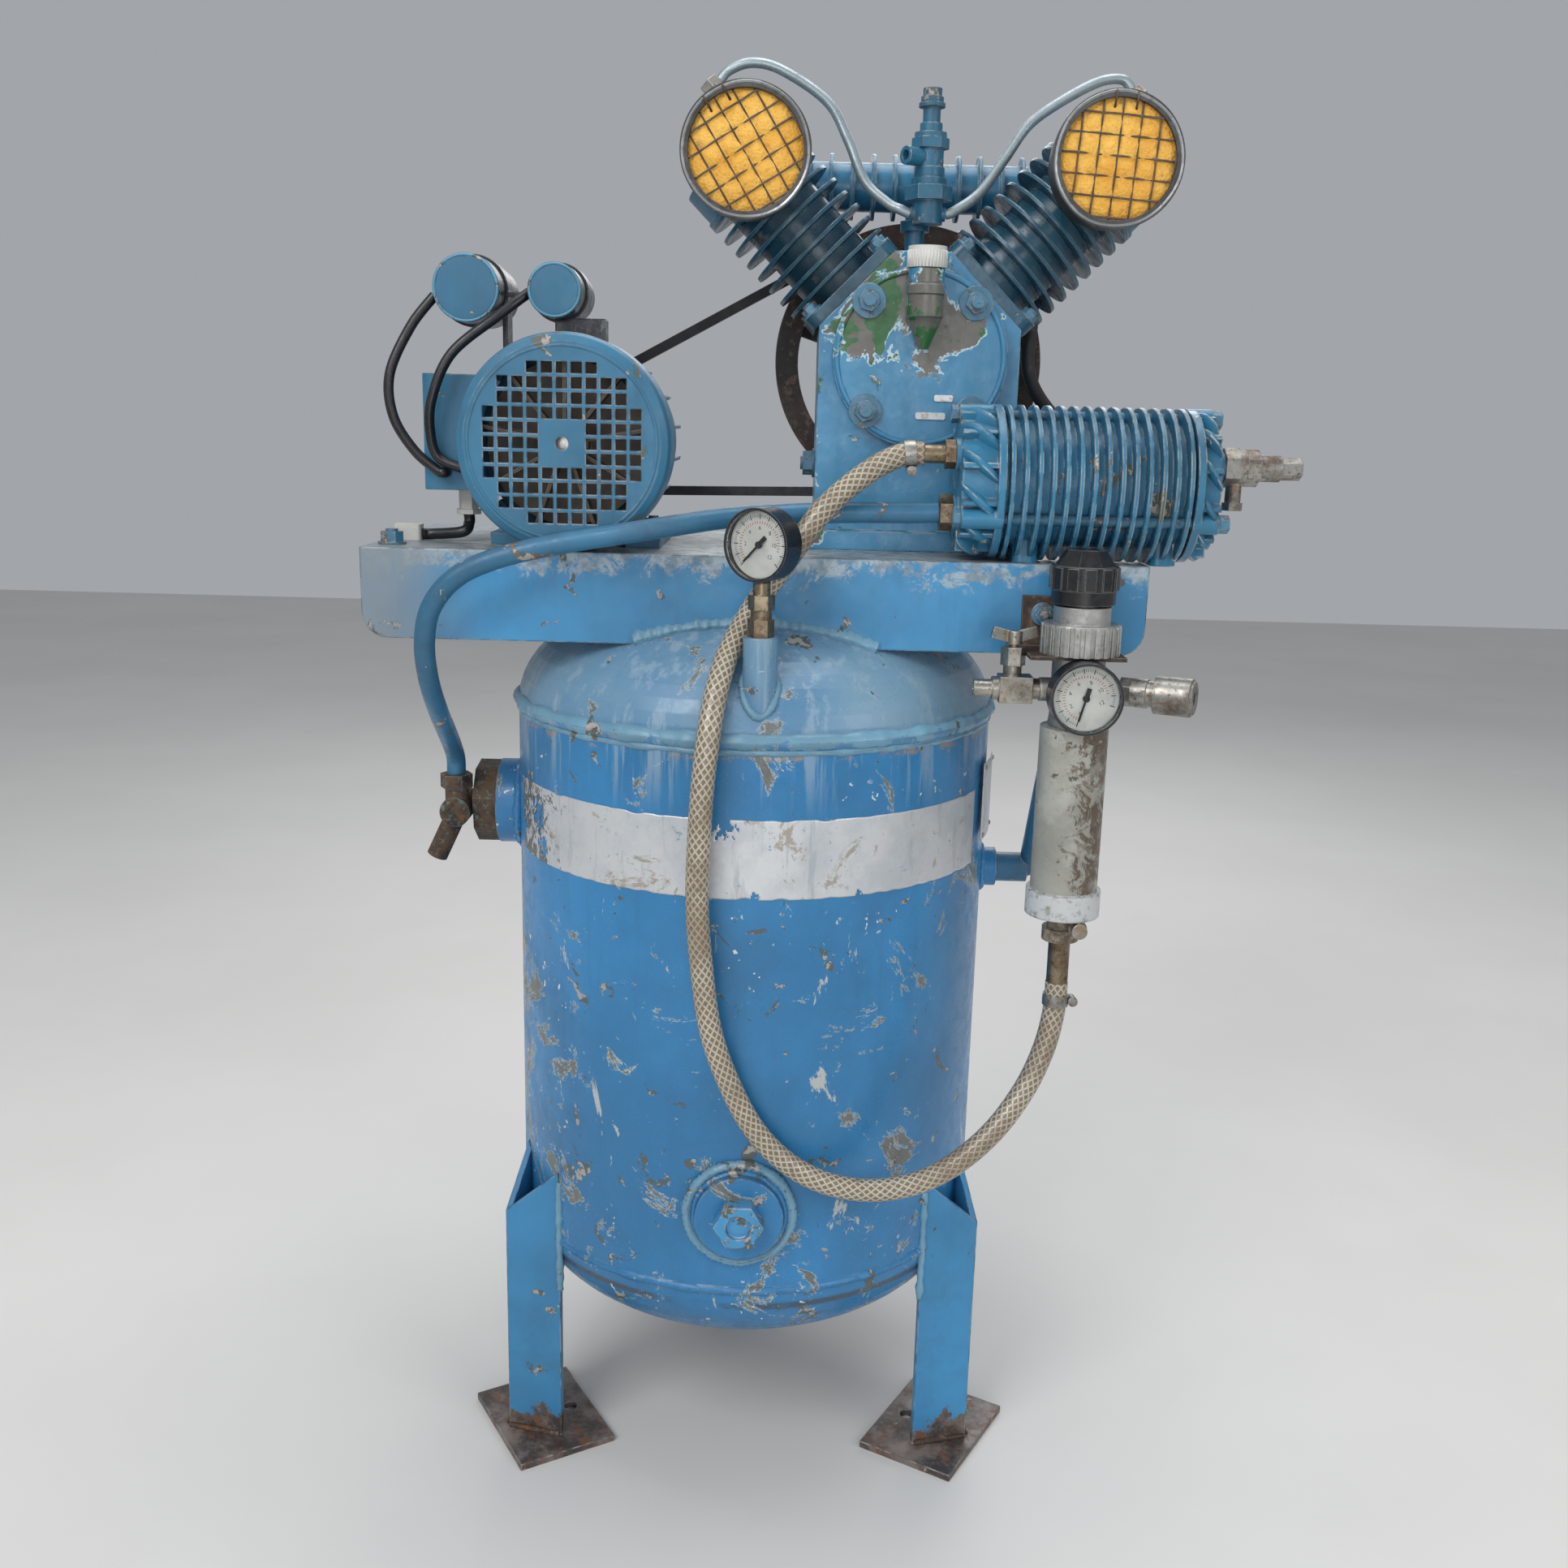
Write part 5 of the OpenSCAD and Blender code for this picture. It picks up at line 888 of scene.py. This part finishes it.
def data_plate():
    """A blank riveted plate on the tank's right side."""
    angle = math.radians(-14)
    out = Vector((math.cos(angle), math.sin(angle), 0))
    along = UP.cross(out)
    centre = out * (TANK_R + 4 * MM) + UP * 580 * MM
    half_w, half_h = 26 * MM, 33 * MM
    verts, faces = [], []
    for i in range(9):
        for j in range(9):
            s, t = half_w * (i / 4 - 1), half_h * (j / 4 - 1)
            verts.append(centre + along * s + UP * t - out * (s * s / (2 * TANK_R)))
    for i in range(8):
        for j in range(8):
            a = i * 9 + j
            faces.append((a, a + 1, a + 10, a + 9))
    made = piece("data_plate", verts, faces, silver_label)
    thick = made.modifiers.new("thickness", "SOLIDIFY")
    thick.thickness = 1 * MM
    for s in (-1, 1):
        for t in (-1, 1):
            spot = centre + along * (s * (half_w - 4 * MM)) + UP * (t * (half_h - 4 * MM)) - out * 1.5 * MM
            rivet = in_mm((2.4, 0), (2.4, 1.2), (1.6, 2.4), (0.3, 2.8))
            lathe(f"plate_rivet_{s + 1}{t + 1}", rivet, spot, out, zinc, sides=16)


tank_welds()
label()
data_plate()


def leg_welds():
    """Beads where the legs meet the tank and the foot plates."""
    for index, degrees in enumerate((-150, -30, 90)):
        turn = Matrix.Rotation(math.radians(degrees), 4, "Z")
        for side in (-1, 1):
            line = [turn @ Vector((LEG_R - 35.1 * MM, side * 35.6 * MM, LEG_WELD_LOW + 2.6 * MM * k))
                    for k in range(40)]
            bead(f"weld_leg_{index}_{side + 1}", line, 3.2 * MM, weld_blue, lumps=0.35)
            foot = [turn @ Vector((LEG_R - 0.7 * MM * k, side * (0.7 * k + 1.5) * MM, 7 * MM)) for k in range(48)]
            bead(f"weld_foot_{index}_{side + 1}", foot, 2.8 * MM, rusty, lumps=0.4)


leg_welds()

# ---------- motor ----------


def capacitor_faces():
    """A blue end disc with a rolled rim on each can."""
    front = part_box("capacitors")[0].y
    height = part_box("capacitors")[1].z - 26 * MM
    for index, (x, r) in enumerate(((-230 * MM, 26 * MM), (-161 * MM, 21 * MM))):
        centre = Vector((x, front, height))
        disc = [(r - 1.6 * MM, -0.1 * MM), (r - 2.2 * MM, -0.6 * MM), (r * 0.5, -0.8 * MM), (0.5 * MM, -0.8 * MM)]
        lathe(f"can_face_{index}", disc, centre, BACK, motor_blue)
        rim = circle(centre - BACK * 0.3 * MM, BACK, r - 1.3 * MM, 72)
        tube(f"can_rim_{index}", rim, 1.1 * MM, can_rim, sides=10, closed=True)


def cowl_ring():
    """The pressed step round the grille."""
    centre = Vector((COWL_MID.x, COWL_LOW.y, COWL_MID.z))
    ring = circle(centre + BACK * 0.6 * MM, BACK, 71 * MM, 120)
    tube("cowl_step", ring, 1.5 * MM, motor_blue, sides=12, closed=True)


capacitor_faces()
cowl_ring()

# ---------- pump ----------


def cover_details():
    """Raised rim of the cast cover, its filler collar and two blank plates."""
    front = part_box("crankcase_cover")[0].y
    face = -52 * MM
    ring = circle((PUMP_X, face, CRANK_Z), BACK, 66.5 * MM, 150)

    def rim_size(i, angle):
        return 2.2 * MM * (1 + 0.2 * noise.noise(ring[i] * 80))

    tube("cover_rim", ring, rim_size, pump_blue, sides=12, closed=True)
    collar = Vector((PUMP_X + 1 * MM, front + 14 * MM, CRANK_Z + 46 * MM))
    lathe("filler_collar", in_mm((14, 0), (15.4, 1.5), (15.4, 8), (14, 9.5)), collar, UP, pump_blue, ring=True)
    for index, (x, z, w, h) in enumerate(((20, -31, 15, 5), (10, -45, 24, 5.5))):
        centre = Vector((PUMP_X + x * MM, face - 1.4 * MM, CRANK_Z + z * MM))
        verts, faces = rounded_plate(centre, w * MM, h * MM, 1.6 * MM)
        piece(f"cover_plate_{index}", verts, faces, silver_label, smooth=False)


def rounded_plate(centre, width, height, thick, corner=1.5 * MM):
    """A thin upright plate with round corners."""
    outline = []
    for sx, sz, start in ((1, 1, 0), (-1, 1, 90), (-1, -1, 180), (1, -1, 270)):
        for k in range(5):
            a = math.radians(start + 22.5 * k)
            outline.append((sx * (width / 2 - corner) + corner * math.cos(a),
                            sz * (height / 2 - corner) + corner * math.sin(a)))
    count = len(outline)
    verts = [centre + RIGHT * x + UP * z for x, z in outline]
    verts += [v + BACK * thick for v in verts]
    faces = [list(range(count)), list(reversed(range(count, 2 * count)))]
    faces += [(k, k + count, (k + 1) % count + count, (k + 1) % count) for k in range(count)]
    return verts, faces


cover_details()


def oil_cap_ribs():
    """The cap's ribbed skirt."""
    low, high, middle = span("oil_cap")
    verts, faces = [], []
    radius, bottom, top = 15 * MM, high.z - 15.5 * MM, high.z - 3 * MM
    for k in range(36):
        a = 2 * math.pi * k / 36
        spot = Vector((middle.x + radius * math.cos(a), middle.y + radius * math.sin(a), 0))
        v, f, _ = tube_data([spot + UP * bottom, spot + UP * top], 0.8 * MM, 6, start=len(verts))
        verts.extend(v)
        faces.extend(f)
    piece("cap_ribs", verts, faces, cap_white, "oil_cap")


oil_cap_ribs()


def cooler_petals():
    """Curved vanes that sweep over both end covers."""
    for name, x, out, reach in (("left", 155 * MM, -1, 30 * MM), ("right", 349 * MM, 1, 19 * MM)):
        verts, faces = [], []
        for k in range(12):
            base = math.radians(30 * k + 15)
            for layer in range(9):
                t = layer / 8
                angle = base + math.radians(26) * (t - 0.5) * -out
                rise = math.sin(math.pi * min(1, t * 1.05)) ** 0.6
                outer = (47 + 10.5 * (0.35 + 0.65 * rise)) * MM
                along = x - out * (reach * t) + out * 0.5 * MM
                half = (2.8 + 1.4 * math.sin(math.pi * t)) * MM
                for r, w in ((40 * MM, half * 1.3), (outer - 2 * MM, half), (outer, half * 0.5)):
                    for sign in (-1, 1):
                        a = angle + sign * w / r
                        y, z = COOLER_MID.y - r * math.sin(a), COOLER_AXIS_Z + r * math.cos(a)
                        verts.append(Vector((along, y, z)))
            start = k * 54
            for layer in range(8):
                a, b = start + layer * 6, start + (layer + 1) * 6
                for p, q in ((0, 2), (2, 4), (4, 5), (5, 3), (3, 1), (1, 0)):
                    faces.append((a + p, a + q, b + q, b + p))
            faces.append([start + i for i in (1, 3, 5, 4, 2, 0)])
            faces.append([start + 48 + i for i in (0, 2, 4, 5, 3, 1)])
        made = piece("petals_" + name, verts, faces, cooler_blue)
        merge(made)
        soften(made, 50)


cooler_petals()

# ---------- gauges ----------


def gauge_face(name, centre, turn, roll, top_value, step, red_to):
    """Ticks, plain scale figures and a bezel on a dial."""
    place = Matrix.Translation(centre) @ Matrix.Rotation(math.radians(turn), 4, "Z")
    place = place @ Matrix.Rotation(math.radians(roll), 4, "Y")
    surface = -0.05 * MM

    def marks(piece_name, count, inner, outer, width, material, share=1.0):
        verts, faces = [], []
        for k in range(int(count * share) + 1):
            a = math.radians(-135 + 270 * k / count)
            across, radial = Vector((math.cos(a), 0, -math.sin(a))), Vector((math.sin(a), 0, math.cos(a)))
            base = len(verts)
            for r in (inner, outer):
                for s in (-1, 1):
                    verts.append(place @ (radial * r + across * (s * width / 2) + BACK * surface))
            faces.append((base, base + 1, base + 3, base + 2))
        piece(piece_name, verts, faces, material, smooth=False)

    marks(name + "_ticks", top_value * 5, 19.8 * MM, 21.6 * MM, 0.34 * MM, ink_black)
    marks(name + "_long_ticks", top_value, 18.6 * MM, 22.2 * MM, 0.75 * MM, ink_black)
    marks(name + "_red_ticks", top_value * 3, 15.2 * MM, 17.2 * MM, 0.5 * MM, ink_red, red_to)
    for k in range(0, top_value + 1, step):
        a = math.radians(-135 + 270 * k / top_value)
        data = bpy.data.curves.new(f"{name}_number_{k}", "FONT")
        data.body, data.size, data.align_x, data.align_y = str(k), 4.4 * MM, "CENTER", "CENTER"
        made = bpy.data.objects.new(f"{name}_number_{k}", data)
        bpy.context.scene.collection.objects.link(made)
        spot = Vector((math.sin(a) * 12.2 * MM, surface, math.cos(a) * 12.2 * MM))
        made.matrix_world = place @ Matrix.Translation(spot) @ Matrix.Rotation(math.pi / 2, 4, "X")
        made.data.materials.append(ink_black)
        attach(made, "root")
    axis = place.to_3x3() @ BACK
    face = place @ (BACK * -4.6 * MM)
    rim = in_mm((24.4, 0.6), (24.8, -0.4), (25.8, -0.7), (26.9, -0.2), (27.0, 2), (24.4, 3))
    lathe(name + "_bezel", rim, face, axis, bezel, sides=72, ring=True)


facing = Matrix.Rotation(math.radians(TANK_GAUGE_TURN), 3, "Z") @ Vector((0, -DIAL_DEPTH, 0))
gauge_face("tank_gauge", TANK_GAUGE + facing, TANK_GAUGE_TURN, 0, 12, 2, 0.9)
gauge_face("regulator_gauge", REG_GAUGE - BACK * DIAL_DEPTH, 0, -30, 12, 2, 0.9)

# ---------- floor and light ----------


def studio():
    """A pale floor, a soft grey world and five area lights."""
    m = Mat("floor")
    tone = m.mix(m.step(m.noise(1.5, 4), 0.3, 0.7), (0.62, 0.61, 0.59), (0.66, 0.65, 0.63))
    look = m.finish(tone, 0.6, m.noise(120, 3), 0.05 * MM)
    mesh = bpy.data.meshes.new("floor")
    mesh.from_pydata([(-6, -6, 0), (6, -6, 0), (6, 6, 0), (-6, 6, 0)], [], [(0, 1, 2, 3)])
    floor = bpy.data.objects.new("floor", mesh)
    mesh.materials.append(look)
    bpy.context.scene.collection.objects.link(floor)
    world = bpy.data.worlds.new("studio")
    world.use_nodes = True
    world.node_tree.nodes["Background"].inputs["Color"].default_value = (0.86, 0.90, 0.95, 1)
    world.node_tree.nodes["Background"].inputs["Strength"].default_value = 0.42
    bpy.context.scene.world = world
    # Each light's name, place and size in metres, and power in watts
    lights = (("key", (-1.4, -2.2, 2.6), 1.6, 52), ("fill", (2.0, -1.8, 1.6), 1.4, 15),
              ("front", (0.0, -3.0, 1.0), 1.2, 13), ("top", (0.2, 0.3, 3.0), 1.8, 34),
              ("back", (0.5, 2.4, 2.2), 1.6, 20))
    for name, spot, size, power in lights:
        data = bpy.data.lights.new(name, "AREA")
        data.size, data.energy = size, power
        lamp = bpy.data.objects.new(name, data)
        bpy.context.scene.collection.objects.link(lamp)
        lamp.location = spot
        lamp.rotation_euler = (Vector((0.05, 0, 0.6)) - Vector(spot)).to_track_quat("-Z", "Y").to_euler()
    bpy.context.scene.view_settings.view_transform = "Standard"


studio()
